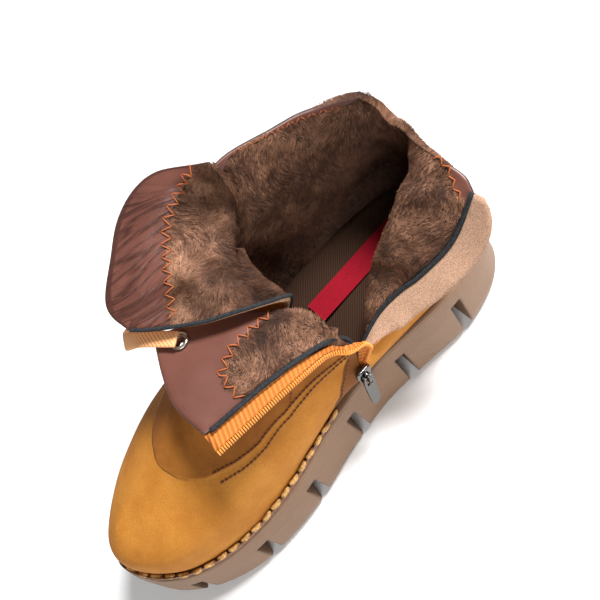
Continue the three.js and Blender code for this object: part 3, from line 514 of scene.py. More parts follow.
def puckerHeight(p, size, height, seed):
    return height * noise.fractal(p / size + Vector((seed, 0, 0)), 1.0, 2.0, 2)


def spanNormal(surface, u, v, uEnd, vEnd):
    step = 0.06
    along = surface(u, min(v + step, vEnd)) - surface(u, max(v - step, 0))
    across = surface(min(u + step, uEnd), v) - surface(max(u - step, 0), v)
    return along.cross(across).normalized()


def upperNormal(u, v):
    vEnd = ridgeRow if throatMedial < u < throatLateral else lastRow
    return spanNormal(upperAt, u, v, lastStation, vEnd)


def tongueNormal(u, v):
    return spanNormal(tongueAt, u, v, tongueSide, lastTongueRow)


def tableAt(pairs, x):
    for (x0, y0), (x1, y1) in zip(pairs, pairs[1:]):
        if x <= x1:
            f = min(max((x - x0) / (x1 - x0), 0), 1)
            return y0 + (y1 - y0) * f
    return pairs[-1][1]


def placeObject(name, mesh):
    made = bpy.data.objects.new(name, mesh)
    bpy.context.scene.collection.objects.link(made)
    return made


def meshObject(name, verts, faces, material):
    mesh = bpy.data.meshes.new(name)
    mesh.from_pydata([metres(p) for p in verts], [], faces)
    mesh.polygons.foreach_set("use_smooth", [True] * len(faces))
    mesh.materials.append(material)
    mesh.update()
    made = placeObject(name, mesh)
    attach(made, "boot")
    return made


def faceOutward(mesh):
    bm = bmesh.new()
    bm.from_mesh(mesh)
    bmesh.ops.recalc_face_normals(bm, faces=bm.faces)
    bm.to_mesh(mesh)
    bm.free()


def gridObject(name, points, quads, facts, materials, pickRim, pickOuter, wall):
    # A sheet thickened outwards; facts are float attributes of the sheet's points.
    normals = [Vector() for p in points]
    for q in quads:
        n = (points[q[2]] - points[q[0]]).cross(points[q[3]] - points[q[1]])
        for k in q:
            normals[k] += n
    for n in normals:
        n.normalize()
    count = len(points)
    outer = []
    for k, p in enumerate(points):
        lean = normals[k]
        if facts["standing"][k]:
            lean = Vector((lean.x, lean.y, 0)).normalized()
        outer.append(p + lean * wall)
    mesh = bpy.data.meshes.new(name)
    faces, index = [], []
    edges = set()
    for q in quads:
        for k in range(4):
            edges.add((q[k], q[(k + 1) % 4]))
    for q in quads:
        faces.append(tuple(reversed(q)))
        index.append(0)
        faces.append(tuple(k + count for k in q))
        index.append(pickOuter(q))
        for k in range(4):
            a, b = q[k], q[(k + 1) % 4]
            if (b, a) not in edges:
                faces.append((a, b, b + count, a + count))
                index.append(pickRim(a, b))
    mesh.from_pydata([metres(p) for p in points + outer], [], faces)
    for material in materials:
        mesh.materials.append(material)
    mesh.polygons.foreach_set("material_index", index)
    mesh.polygons.foreach_set("use_smooth", [True] * len(faces))
    for key, values in facts.items():
        layer = mesh.attributes.new(key, "FLOAT", "POINT")
        layer.data.foreach_set("value", [float(v) for v in values + values])
    layer = mesh.uv_layers.new(name="UVMap")
    us, vs = facts["alongU"], facts["alongV"]
    for loop in mesh.loops:
        k = loop.vertex_index % count
        layer.data[loop.index].uv = (us[k], vs[k])
    mesh.update()
    return placeObject(name, mesh), normals


def smoothLevels(made, levels):
    modifier = made.modifiers.new("smooth", "SUBSURF")
    modifier.levels = modifier.render_levels = levels


factNames = ("facing", "standing", "alongU", "alongV", "edge", "rim", "panel", "strip")

# Row where the pile ends and the smooth leather facing starts, round the collar.
facingRow = [(0, 6.45), (0.7, 6.38), (0.9, 6.18), (1.04, 6.0), (1.16, 5.72), (1.28, 5.48), (1.5, 5.0),
             (2, 4.2), (2.01, 9), (9.9, 9), (10, 5.6), (10.6, 6.8), (11, 6.95), (12.2, 6.9),
             (13.1, 6.72), (13.7, 6.58), (13.9, 6.9), (14.1, 7.3), (16, 7.3), (16.9, 7.0),
             (17.7, 6.78), (19, 6.72)]

# On the outside: the row of the double seam at each station, and the station that the strip
# behind the vamp, darkened with painted shade, reaches at each row.
seamRow = [(0, 3.02), (0.08, 2.96), (0.44, 2.52), (0.8, 2.24), (1.08, 2.12), (1.44, 2.0),
           (1.76, 1.88), (2.12, 1.88), (2.5, 1.92), (3.1, 2.1), (3.6, 2.32), (3.95, 2.6),
           (4.1, 2.85), (4.2, 3.2), (5, 9)]
stripReach = [(0, 1.6), (0.36, 1.2), (1.2, 0.8), (1.56, 0.6), (2.08, 0.44), (2.36, 0.36), (2.96, 0.08),
              (3.2, -0.2)]


def seamAt(u):
    # The seam runs over the vamp to the lateral side and climbs to the collar there.
    if u <= 5:
        return tableAt(seamRow, u)
    if 7 <= u <= 12:
        return tableAt(seamRow, 12 - u)
    return 3.02 + (u - 12) * 3 if 12 < u < 14 else 9


def onRoll(u, v):
    # The outside of the front flap's fold, where the pile rolls over.
    return u < 1.7 and 3.05 < v < 5.1


upper = {"columns": 8, "levels": 9, "wall": 2.6, "pucker": (16, 0.5, 3.0), "collar": 5.85}


def upperShaped(u, v, share=1.0):
    p = upperAt(u, v)
    height = creaseHeight(p, upperCreases) + puckerHeight(p, *upper["pucker"])
    return p + upperNormal(u, v) * share * height


def buildUpper():
    columns, levels = lastStation * upper["columns"], lastRow * upper["levels"]
    ridge = ridgeRow * upper["levels"]
    first, last = (throatMedial + 1) * upper["columns"], (throatLateral - 1) * upper["columns"]
    points, places, index = [], [], {}
    facts = {key: [] for key in factNames}

    def pointIndex(c, l):
        key = (c, l)
        if c == columns and l <= upper["levels"]:
            key = (0, l)
        if l == ridge and first <= c <= last:
            key = (min(c, first + last - c), l)
        if key not in index:
            u, v = key[0] / upper["columns"], key[1] / upper["levels"]
            onRidge = l == ridge and first <= c <= last
            smoothFoot = 3  # levels above the sole without creases
            if l > smoothFoot and not onRidge:
                p = upperShaped(u, v, min(1.0, (l - smoothFoot) / 6))
            else:
                p = upperAt(u, v)
            if onRidge:
                p.y = 0
            index[key] = len(points)
            points.append(p)
            places.append((u, v))
            facts["facing"].append((v - tableAt(facingRow, u)) * 13)
            facts["standing"].append(1 if l == 0 else 0)
            facts["alongU"].append(u * 17)
            facts["alongV"].append(v * 13)
            facts["edge"].append(min(u, lastStation - u) * 17 if v > 1 else 99)
            facts["rim"].append(40)
            facts["panel"].append((v - seamAt(u)) * 15)
            facts["strip"].append((tableAt(stripReach, v) - u) * 18)
        return index[key]

    def softenVamp(quads):
        # The two halves of the vamp meet in a round ridge.
        near = {}
        for q in quads:
            for a, b in zip(q, q[1:] + q[:1]):
                near.setdefault(a, set()).add(b)
                near.setdefault(b, set()).add(a)
        share = {}
        for k, (u, v) in enumerate(places):
            x = points[k].x
            if throatMedial < u < throatLateral and v > 1.7 and x > 160:
                share[k] = 0.6 * min(1.0, (x - 160) / 12) * min(1.0, (v - 1.7) / 0.5)
        for turn in range(14):
            middles = {k: sum((points[j] for j in near[k]), Vector()) / len(near[k]) for k in share}
            for k, f in share.items():
                points[k] = points[k].lerp(middles[k], f)

    quads = []
    for c in range(columns):
        vamp = throatMedial * upper["columns"] <= c < throatLateral * upper["columns"]
        for l in range(ridge if vamp else levels):
            quads.append([pointIndex(a, b) for a, b in ((c, l), (c, l + 1), (c + 1, l + 1), (c + 1, l))])

    softenVamp(quads)

    def pickRim(a, b):
        (ua, va), (ub, vb) = places[a], places[b]
        if max(va, vb) <= 0:
            return 2
        onZip = max(ua, ub) < 0.01 or min(ua, ub) > lastStation - 0.01
        return 3 if onZip else 2

    def pickOuter(q):
        u, v = (sum(places[k][j] for k in q) / 4 for j in range(2))
        if onRoll(u, v):
            return 0
        return 4 if v > upper["collar"] and u > throatMedial else 1

    made, normals = gridObject("upperShell", points, quads, facts,
                               [lining, nubuck, darkBinding, blueBinding, collarLeather],
                               pickRim, pickOuter, upper["wall"])
    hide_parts("upper")
    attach(made, "boot")
    smoothLevels(made, 1)
    return made, (points, quads, normals, facts)


upperObject, quarter = buildUpper()
print("stage: upper", len(quarter[0]))

tongue = {"columns": 6, "levels": 6, "wall": 2.4, "pucker": (14, 0.5, 8.0)}
tongueFacing = [(0, 7.08), (3.6, 7.1), (4.0, 7.2), (4.3, 7.6), (4.6, 8.3), (4.8, 8.9), (5, 9.2)]


def tongueShaped(u, v):
    p = tongueAt(u, v)
    height = creaseHeight(p, tongueCreases) + puckerHeight(p, *tongue["pucker"])
    return p + tongueNormal(u, v) * height


def buildTongue():
    columns, levels = tongueSide * tongue["columns"], lastTongueRow * tongue["levels"]
    points, places = [], []
    facts = {key: [] for key in factNames}
    for l in range(levels + 1):
        for c in range(columns + 1):
            u, v = c / tongue["columns"], l / tongue["levels"]
            points.append(tongueShaped(u, v))
            places.append((u, v))
            facts["facing"].append((v - tableAt(tongueFacing, u)) * 11)
            facts["standing"].append(0)
            facts["alongU"].append(u * 20)
            facts["alongV"].append(v * 11)
            facts["edge"].append(u * 16)
            facts["rim"].append(min((lastTongueRow - v) * 13, (tongueSide - u) * 15, u * 15))
            facts["panel"].append(-20)
            facts["strip"].append(-20)
    quads = []
    for l in range(levels):
        for c in range(columns):
            a = l * (columns + 1) + c
            quads.append([a, a + columns + 1, a + columns + 2, a + 1])

    def pickRim(a, b):
        return 3 if max(places[a][0], places[b][0]) < 0.01 else 2

    made, normals = gridObject("tongueShell", points, quads, facts,
                               [lining, nubuck, darkBinding, rawEdge], pickRim,
                               lambda q: 3 if places[q[0]][0] < 0.5 else 1, tongue["wall"])
    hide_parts("tongue")
    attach(made, "boot")
    smoothLevels(made, 1)
    return points, quads, normals, facts


tongueSheet = buildTongue()
print("stage: tongue")


# Fur strands

# heel: the station at the middle of the painted shadow on the pile in the heel pocket.
pile = {"shaft": 62000, "flaps": 60000, "ridge": 16000, "tongue": 36000, "heelRim": 7000,
        "tongueRim": 4200, "jitter": 0.22, "heel": 14.2}
downBack = Vector((0.25, 0, -0.75))  # the way that the tufts lie


def strandMesh(name, points, quads, normals, facts, count, keep, length, width, seed):
    # Short flat tufts that swirl about one direction; keep weighs each face of the sheet.
    rolls = random.Random(seed)
    usable, weights = [], []
    for q in quads:
        middle = (points[q[0]] + points[q[1]] + points[q[2]] + points[q[3]]) / 4
        weight = keep(middle, *([facts[key][k] for k in q]
                                for key in ("facing", "edge", "alongU", "alongV")))
        if weight > 0:
            area = (points[q[2]] - points[q[0]]).cross(points[q[3]] - points[q[1]]).length / 2
            usable.append(q)
            weights.append(area * weight)
    verts, faces, shades = [], [], []
    for q in rolls.choices(usable, weights, k=count):
        s, t = rolls.random(), rolls.random()
        root = (points[q[0]].lerp(points[q[3]], s)).lerp(points[q[1]].lerp(points[q[2]], s), t)
        away = -(normals[q[0]].lerp(normals[q[2]], 0.5)).normalized()
        flow = noise.noise_vector(root / 17 + Vector((seed, 0, 0)))
        fine = noise.noise_vector(root / 4.5 + Vector((0, seed, 0)))
        drift = downBack + flow * 1.5
        trend = (drift - away * drift.dot(away)).normalized()
        streak = sum(noise.noise((root + trend * 0.9 * k) / 0.75) for k in range(-2, 3)) / 2
        jitter = Vector([rolls.uniform(-pile["jitter"], pile["jitter"]) for k in range(3)])
        lay = drift + fine * 0.6 + jitter
        lay = (lay - away * lay.dot(away)).normalized()
        rise = 0.36 + 0.4 * fine.x + rolls.uniform(-0.12, 0.2)
        size = length * rolls.uniform(0.65, 1.2)
        side = lay.cross(away).normalized() * width * rolls.uniform(0.7, 1.3)
        base = root - away * 0.2
        middle = base + (lay * 0.55 + away * max(0.2, rise) * 0.75) * size * 0.55
        tip = middle + (lay * 0.9 + away * max(0.0, rise) * 0.2) * size * 0.55
        start = len(verts)
        verts += [base - side, base + side, middle + side * 0.8, middle - side * 0.8, tip]
        faces += [(start, start + 1, start + 2, start + 3), (start + 3, start + 2, start + 4)]
        tone = 0.42 + 0.5 * flow.z + 0.3 * fine.z + 0.55 * streak + rolls.uniform(-0.12, 0.12)
        around, row = (sum(facts[key][k] for k in q) / 4 / step
                       for key, step in (("alongU", 17), ("alongV", 13)))
        # Painted shade: darker towards the sole, and most of all in the heel pocket, where the walls
        # shade the pile.
        paintedHeelShadow = max(0.0, 1 - abs(around - pile["heel"]) / 2.6) * max(0.0, 1 - row / 6.4)
        tone = min(max(tone, 0), 1) * min(1.0, 0.12 + row / 5.2) * (1 - min(1.0, 1.9 * paintedHeelShadow))
        # Painted shade within the pile: each tuft darker at its root, full tone at its tip.
        shades += [tone * 0.25, tone * 0.25, tone * 0.7, tone * 0.7, tone]
    mesh = meshObject(name, verts, faces, strands).data
    mesh.attributes.new("shade", "FLOAT", "POINT").data.foreach_set("value", shades)


def keepUpper(middle, facing, edge, alongU, alongV):
    if max(facing) > 1.2 or min(edge) < 1.0 or middle.z < 42 or middle.x > 150:
        return 0
    return 1.0 if middle.z > 60 or middle.y > 10 else 0.35


def keepRidge(middle, facing, edge, alongU, alongV):
    return 1.0 if onRoll(sum(alongU) / 4 / 17, sum(alongV) / 4 / 13) and min(edge) > 0.8 else 0


def keepTongue(middle, facing, edge, alongU, alongV):
    return 0 if max(facing) > 1.2 or min(edge) < 1.6 or middle.z < 84 else 1.0


def turnedOut(points, quads, normals, facts):
    return [p + n * upper["wall"] for p, n in zip(points, normals)], quads, [-n for n in normals], facts


strandMesh("pileShaft", *quarter, pile["shaft"],
           lambda m, *f: keepUpper(m, *f) * (m.y <= 2), 2.7, 0.16, 11)
strandMesh("pileFlaps", *quarter, pile["flaps"],
           lambda m, *f: keepUpper(m, *f) * (m.y > 2), 2.5, 0.15, 12)
strandMesh("pileRidge", *turnedOut(*quarter), pile["ridge"], keepRidge, 2.5, 0.15, 14)
strandMesh("pileTongue", *tongueSheet, pile["tongue"], keepTongue, 2.5, 0.15, 13)


def rimPile(name, surface, normalOf, places, wall, outward, count, seed):
    # Tufts over a bare edge, sparse at both ends; outward points off the edge at a place.
    points, normals = [], []
    for u, v in places:
        p, n, away = surface(u, v), normalOf(u, v), outward(u, v).normalized()
        points += [p - n * 0.4, p + n * (wall + 0.2)]
        normals += [-away, -away]
    quads = [[2 * k, 2 * k + 1, 2 * k + 3, 2 * k + 2] for k in range(len(places) - 1)]
    fromEnd = [min(k // 2, len(places) - k // 2) for k in range(len(points))]
    # An alongV of 48 gives these tufts the painted depth shade of a row part way up the wall.
    facts = {"facing": [-5] * len(points), "edge": fromEnd, "alongU": [0] * len(points),
             "alongV": [48] * len(points)}
    strandMesh(name, points, quads, normals, facts, count,
               lambda m, facing, edge, *f: min(1.0, 0.05 + edge[0] / 8), 2.1, 0.15, seed)


rimPile("pileHeelRim", upperShaped, upperNormal, [(13.2 + k / 8, lastRow) for k in range(33)],
        upper["wall"], lambda u, v: upperAt(u, v) - upperAt(u, v - 0.2), pile["heelRim"], 21)
rimPile("pileTongueRim", tongueShaped, tongueNormal, [(tongueSide, 4.2 + k / 6) for k in range(28)],
        tongue["wall"], lambda u, v: tongueAt(u, v) - tongueAt(u - 0.1, v), pile["tongueRim"], 22)
print("stage: pile")


# Helpers for stitches, teeth and strips

def tubeInto(verts, faces, path, radius, sides=6, taper=True):
    # One closed tube along a path, thinner at both ends where it tapers.
    start = len(verts)
    count = len(path)
    up = Vector((0.13, 0.21, 0.97))
    for k, p in enumerate(path):
        ahead = (path[min(k + 1, count - 1)] - path[max(k - 1, 0)]).normalized()
        side = ahead.cross(up).normalized()
        top = side.cross(ahead)
        size = radius * (0.55 if taper and k in (0, count - 1) else 1.0)
        for s in range(sides):
            a = 2 * math.pi * s / sides
            verts.append(p + side * math.cos(a) * size + top * math.sin(a) * size)
    for k in range(count - 1):
        for s in range(sides):
            a, b = start + k * sides + s, start + k * sides + (s + 1) % sides
            faces.append((a, b, b + sides, a + sides))
    faces.append(tuple(start + s for s in reversed(range(sides))))
    faces.append(tuple(start + (count - 1) * sides + s for s in range(sides)))


def stitchRow(name, line, lift, material, length, gap, radius, zigzag=0.0, sides=5):
    # Stitches along a list of (point, normal) samples; zigzag swings them either side of the line.
    verts, faces = [], []
    runs = [0.0]
    for (a, n), (b, m) in zip(line, line[1:]):
        runs.append(runs[-1] + (b - a).length)

    def at(distance):
        k = 0
        while k < len(runs) - 2 and distance > runs[k + 1]:
            k += 1
        f = (distance - runs[k]) / max(runs[k + 1] - runs[k], 1e-6)
        (a, n), (b, m) = line[k], line[k + 1]
        p, normal = a.lerp(b, f), n.lerp(m, f).normalized()
        side = (b - a).cross(normal).normalized()
        return p, normal, side

    distance, turn = 0.0, 1
    while distance + length < runs[-1]:
        path = []
        for k in range(5):
            f = k / 4
            p, normal, side = at(distance + f * length)
            swing = zigzag * turn * (1 - 2 * f)
            path.append(p + side * swing + normal * (lift + 0.35 * radius * math.sin(math.pi * f)))
        tubeInto(verts, faces, path, radius, sides)
        distance += length + gap
        turn = -turn
    meshObject(name, verts, faces, material)


def surfaceLine(surface, normalOf, places, inner=True, wall=0.0, steps=8):
    # Samples of the sheet along (u, v) places, on the lining side or on the outer side of its wall.
    samples = []
    for (u0, v0), (u1, v1) in zip(places, places[1:]):
        for k in range(steps):
            f = k / steps
            u, v = u0 + (u1 - u0) * f, v0 + (v1 - v0) * f
            n = normalOf(u, v)
            samples.append((surface(u, v) + n * wall, -n if inner else n))
    return samples


def outerLine(places, steps=8):
    return surfaceLine(upperShaped, upperNormal, places, False, upper["wall"], steps)


# Zip: tapes, teeth, guard

zipper = {"tape": 9.1, "coil": 2.0, "pitch": 1.2, "seam": 1.2, "lean": 0.8, "rise": 1.86,
          "ribs": 4, "rearEnd": 6.3, "guard": 13.0}
tapeStart = [(1, 0), (2, 0.3), (3, 2.2), (4, 3.8), (5, 3), (6, 1), (7, 0)]  # front tape, at each row
tapeShare = [(1, 1), (2, 0.9), (3, 0.7), (4, 0.75), (5, 0.65), (6, 0.85), (7, 1)]


def zipFrames(u, first, rise, steps):
    # Up one side of the zip, from `first` thirds of a row over the low row to the top edge.
    frames = []
    third = 1 / 3
    for k in range((3 * (lastRow - 1) - first) * steps + 1):
        v = min((3 + first) / 3 + k / (3 * steps), lastRow)
        base = upperAt(u, v)
        up = (upperAt(u, min(v + third, lastRow)) - upperAt(u, v - third)).normalized()
        across = upperAt(min(u + third, lastStation), v) - upperAt(max(u - third, 0), v)
        normal = up.cross(across).normalized()
        across = (across - up * across.dot(up)).normalized()
        gap = (upperAt(0, v) - upperAt(lastStation, v)).length
        out = across * (-1 if u == 0 else 1)
        point = base + normal * rise + out * zipper["seam"]
        out = out + Vector((0, zipper["lean"], 0))
        out = (out - up * out.dot(up)).normalized()
        normal = (normal - out * normal.dot(out)).normalized()
        frames.append((v, point, normal, out, gap))
    return frames


def stripObject(name, rings, material):
    # Closed rings of points joined in a row, capped at both ends.
    verts, faces = [], []
    n = len(rings[0])
    for ring in rings:
        verts += ring
    for r in range(len(rings) - 1):
        for k in range(n):
            a, b = r * n + k, r * n + (k + 1) % n
            faces.append((a, b, b + n, a + n))
    faces.append(tuple(range(n - 1, -1, -1)))
    faces.append(tuple(range((len(rings) - 1) * n, len(rings) * n)))
    made = meshObject(name, verts, faces, material)
    layer = made.data.uv_layers.new(name="UVMap")
    runs = [0.0]
    for a, b in zip(rings, rings[1:]):
        runs.append(runs[-1] + ((b[0] + b[n // 2]) / 2 - (a[0] + a[n // 2]) / 2).length)
    for loop in made.data.loops:
        r, k = divmod(loop.vertex_index, n)
        layer.data[loop.index].uv = (runs[r], (rings[r][k] - rings[r][0]).length)
    faceOutward(made.data)
    return made


def buildTape(name, node, u):
    rings, teeth = [], []
    ribs, front = zipper["ribs"], u == 0
    for v, point, normal, out, gap in zipFrames(u, 1, zipper["rise"], 4):
        if not front and v > zipper["rearEnd"]:
            break
        start, share = (tableAt(tapeStart, v), tableAt(tapeShare, v)) if front else (1.2, 1.0)
        reach = min(share * zipper["tape"], gap / 2 - zipper["seam"])
        bead = max(reach - zipper["coil"], start + 0.3)
        inside = start - (1.6 if front else 2.0)
        top, low = [], []
        for k in range(ribs * 4 + 1):
            f = k / (ribs * 4)
            x = inside + (bead - inside) * f
            h = 0.42 + 0.34 * math.sin(f * ribs * math.pi) ** 2
            top.append(point + out * x + normal * h)
            low.append(point + out * x - normal * h)
        rings.append(low + list(reversed(top)))
        teeth.append((point + out * (bead + 0.2), point + out * (reach - 0.1), normal))
    tape = stripObject(name, rings, zipOrange)
    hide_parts(node)
    verts, faces = [], []
    runs = [0.0]
    for a, b in zip(teeth, teeth[1:]):
        runs.append(runs[-1] + (b[1] - a[1]).length)
    distance, k = 0.4, 0
    while distance < runs[-1] - 0.4:
        while distance > runs[k + 1]:
            k += 1
        f = (distance - runs[k]) / (runs[k + 1] - runs[k])
        a, b, n = (teeth[k][j].lerp(teeth[k + 1][j], f) for j in range(3))
        out = (b - a).normalized()
        middle = a.lerp(b, 0.5)
        path = [a + n * 0.75, middle + n * 0.95, b + n * 0.5, b + out * 0.15, b - n * 0.5,
                middle - n * 0.95, a - n * 0.75]
        tubeInto(verts, faces, path, 0.4, 6, taper=False)
        distance += zipper["pitch"]
    meshObject(name + "Teeth", verts, faces, coilPlastic)


buildTape("tapeFront", "zip_tape_front", 0)
buildTape("tapeRear", "zip_tape_rear", lastStation)


def buildGuard():
    frames = zipFrames(lastStation, 2, -0.25, 3)
    rings = []
    for k, (v, point, normal, out, gap) in enumerate(frames):
        row = k / 3
        end = max(0.0, (row - (len(frames) - 1) / 3 + 2) / 2.2)
        start = min(1.0, (row + 2) / 4)
        reach = min(zipper["guard"] * start * math.sqrt(max(1 - end * end, 0)), gap * 0.55)
        top, low = [], []
        for j in range(9):
            f = j / 8
            x = reach * f - 0.8 * (1 - f)
            puff = 0.75 * (1 - abs(2 * f - 1) ** 6) + 0.12
            wave = 0.25 * math.sin(row * 2.1) * f
            top.append(point + out * x + normal * (puff + wave))
            low.append(point + out * x - normal * (puff - wave))
        rings.append(low + list(reversed(top)))
    made = stripObject("guard", rings, suede)
    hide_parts("zip_guard")
    piping, faces = [], []
    path = [point + normal * -0.6 - out * 0.6 for v, point, normal, out, gap in frames]
    tubeInto(piping, faces, path, 1.15, 7, taper=False)
    meshObject("guardPiping", piping, faces, blueBinding)


buildGuard()
print("stage: zip")


# Eyelets

eyelets = {  # node: point on the lining side, outward normal
    "eyelet_medial_1": ((136.7, 12.7, 84.9), (0.206, 0.655, 0.727)),
    "eyelet_medial_2": ((125.8, 13.4, 87.4), (0.224, 0.584, 0.78)),
    "eyelet_medial_3": ((148.2, -9.8, 107.8), (0.121, 0.018, -0.993)),
    "eyelet_lateral_1": ((139.7, -15.1, 86.3), (0.524, -0.664, 0.533)),
    "eyelet_lateral_2": ((127.0, -20.3, 93.0), (0.555, -0.603, 0.573)),
    "eyelet_lateral_3": ((83.5, -41.7, 122.2), (0.187, -0.982, -0.012)),
}
eyeletProfile = [(2.6, -1.1), (2.9, -1.5), (3.6, -1.65), (4.3, -1.4), (4.4, -0.9), (3.4, -0.4),
                 (3.3, 1.5), (3.4, 3.1), (4.4, 3.5), (4.3, 4.1), (3.6, 4.35), (2.9, 4.2),
                 (2.6, 3.8)]  # radius and height


def buildEyelet(node, place, normal):
    verts, faces = [], []
    n = Vector(normal).normalized()
    side = n.cross(Vector((0.3, 0.5, 0.8))).normalized()
    other = n.cross(side)
    sides, rows = 32, len(eyeletProfile)
    for r, h in eyeletProfile:
        for k in range(sides):
            a = 2 * math.pi * k / sides
            verts.append(Vector(place) + n * h + side * r * math.cos(a) + other * r * math.sin(a))
    for j in range(rows):
        for k in range(sides):
            a, b = j * sides + k, j * sides + (k + 1) % sides
            c, d = ((j + 1) % rows) * sides + (k + 1) % sides, ((j + 1) % rows) * sides + k
            faces.append((a, b, c, d))
    made = meshObject(node.replace("_", "-"), verts, faces, eyeletMetal)
    faceOutward(made.data)
    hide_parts(node)


for node, (place, normal) in eyelets.items():
    buildEyelet(node, place, normal)


def buildHoles():
    # The leather inside each eyelet is cut away.
    mesh = upperObject.data
    bm = bmesh.new()
    bm.from_mesh(mesh)
    gone = []
    for face in bm.faces:
        c = face.calc_center_median()
        for place, normal in eyelets.values():
            away = c - metres(place)
            n = Vector(normal).normalized()
            if abs(away.dot(n)) < 0.005 and (away - n * away.dot(n)).length < 0.0021:
                gone.append(face)
                break
    bmesh.ops.delete(bm, geom=gone, context="FACES")
    bm.to_mesh(mesh)
    bm.free()


buildHoles()
print("stage: eyelets")


# Lace

laceSize = {"wide": 8.0, "thick": 1.4}


def bandObject(name, points, faces, steps, node):
    curve = [Vector(p) for p in points]
    looks = [Vector(p) for p in faces]
    rings, path = [], []
    count = (len(curve) - 1) * steps
    for k in range(count + 1):
        t = k / steps
        p = splineAt(curve, t)
        ahead = splineAt(curve, min(t + 0.1, len(curve) - 1)) - splineAt(curve, max(t - 0.1, 0))
        look = splineAt(looks, t)
        side = ahead.cross(look).normalized()
        top = side.cross(ahead).normalized()
        path.append(p)
        ring = []
        for j in range(16):
            a = 2 * math.pi * j / 16
            x = math.copysign(abs(math.cos(a)) ** 0.5, math.cos(a)) * laceSize["wide"] / 2
            y = math.copysign(abs(math.sin(a)) ** 0.8, math.sin(a)) * laceSize["thick"] / 2
            ring.append(p + side * x + top * y)
        rings.append(ring)
    made = stripObject(name, rings, lace)
    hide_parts(node)
    return made, path


def overEyelet(name, rise):
    place, normal = eyelets[name]
    return Vector(place) + Vector(normal).normalized() * rise


for bar in (1, 2):
    ends = [eyelets["eyelet_%s_%d" % (side, bar)] for side in ("medial", "lateral")]
    high = [overEyelet("eyelet_%s_%d" % (side, bar), 6.6) for side in ("medial", "lateral")]
    deep = [overEyelet("eyelet_%s_%d" % (side, bar), -3.0) for side in ("medial", "lateral")]
    across = (high[1] - high[0]).normalized()
    top = (high[0] + high[1]) / 2 + Vector((0, 0, 2.2))
    points = [deep[0], overEyelet("eyelet_medial_%d" % bar, 3.0), high[0] + across * 2.5, top,
              high[1] - across * 2.5, overEyelet("eyelet_lateral_%d" % bar, 3.0), deep[1]]
    up = [Vector(n) for p, n in ends]
    looks = [-across, up[0] - across, up[0], up[0] + up[1], up[1], up[1] + across, across]
    bandObject("laceBar.%d" % bar, points, looks, 8, "lace_bar_%d" % bar)

# From the top eyelet on the medial side round to the lateral one, and the way the band faces there.
slackPoints = [(147.9, -9.8, 111.1), (160, -25, 111.5), (169, -38, 104), (168, -52, 91), (155, -62, 84),
               (134, -65, 87), (112, -61, 99), (84.6, -47.3, 122.1)]
slackFaces = [(-0.12, -0.02, 0.99), (-0.1, 0.35, 0.9), (0.5, 0.1, 0.8), (0.8, -0.3, 0.4),
              (0.5, -0.7, 0.3), (0, -0.9, 0.3), (-0.1, -0.95, 0.2), (0.19, -0.98, -0.01)]
slack, slackPath = bandObject("laceSlack", slackPoints, slackFaces, 10, "lace_slack")
slackLength = sum((b - a).length for a, b in zip(slackPath, slackPath[1:])) / 1000
metres(slackPoints[0])
[metres(p) for p in slackPath]
print("stage: lace", round(slackLength, 3))


# Zip slider and pull

sliderAxes = [Vector(p) for p in ((0.95773, 0.08082, 0.2761), (0.26988, 0.07996, -0.95957),
                                  (-0.09963, 0.99352, 0.05477))]
sliderAt = Vector((104.57, 40.73, 55.58))


def sliderSpace(p):
    # Across, down along the pull and out of the leather.
    return sliderAt + sum((axis * x for axis, x in zip(sliderAxes, p)), Vector())


def plateInto(verts, faces, outline, levels):
    # An outline lofted through (height, inset) levels, closed at both ends.
    start, n = len(verts), len(outline)
    middle = Vector((sum(p[0] for p in outline) / n, sum(p[1] for p in outline) / n))
    for z, inset in levels:
        for x, y in outline:
            away = Vector((x, y)) - middle
            shrink = 1 - inset / max(away.length, 0.1)
            q = middle + away * shrink
            verts.append(sliderSpace((q.x, q.y, z)))
    for r in range(len(levels) - 1):
        for k in range(n):
            a, b = start + r * n + k, start + r * n + (k + 1) % n
            faces.append((a, b, b + n, a + n))
    faces.append(tuple(start + k for k in reversed(range(n))))
    faces.append(tuple(start + (len(levels) - 1) * n + k for k in range(n)))


def buildSlider():
    verts, faces = [], []
    outline = [(-4.2, -4.2), (-2, -4.5), (2, -4.5), (4.2, -4.2), (4.3, -1), (3.4, 2), (3.0, 4.2),
               (1.4, 4.5), (-1.4, 4.5), (-3.0, 4.2), (-3.4, 2), (-4.3, -1)]
    plateInto(verts, faces, outline, [(0, 0.5), (0.3, 0.1), (1.0, 0), (2.0, 0), (2.4, 0.4)])
    arch = []
    for k in range(13):
        a = math.pi * k / 12
        arch.append(sliderSpace((0, -2.75 * math.cos(a), 2.2 + 3.4 * math.sin(a) ** 0.7)))
    tubeInto(verts, faces, arch, 0.72, 10, taper=False)
    made = meshObject("zipSlider", verts, faces, bright)
    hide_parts("zip_slider")
    modifier = made.modifiers.new("soft", "BEVEL")
    modifier.width, modifier.segments = 0.00025, 2


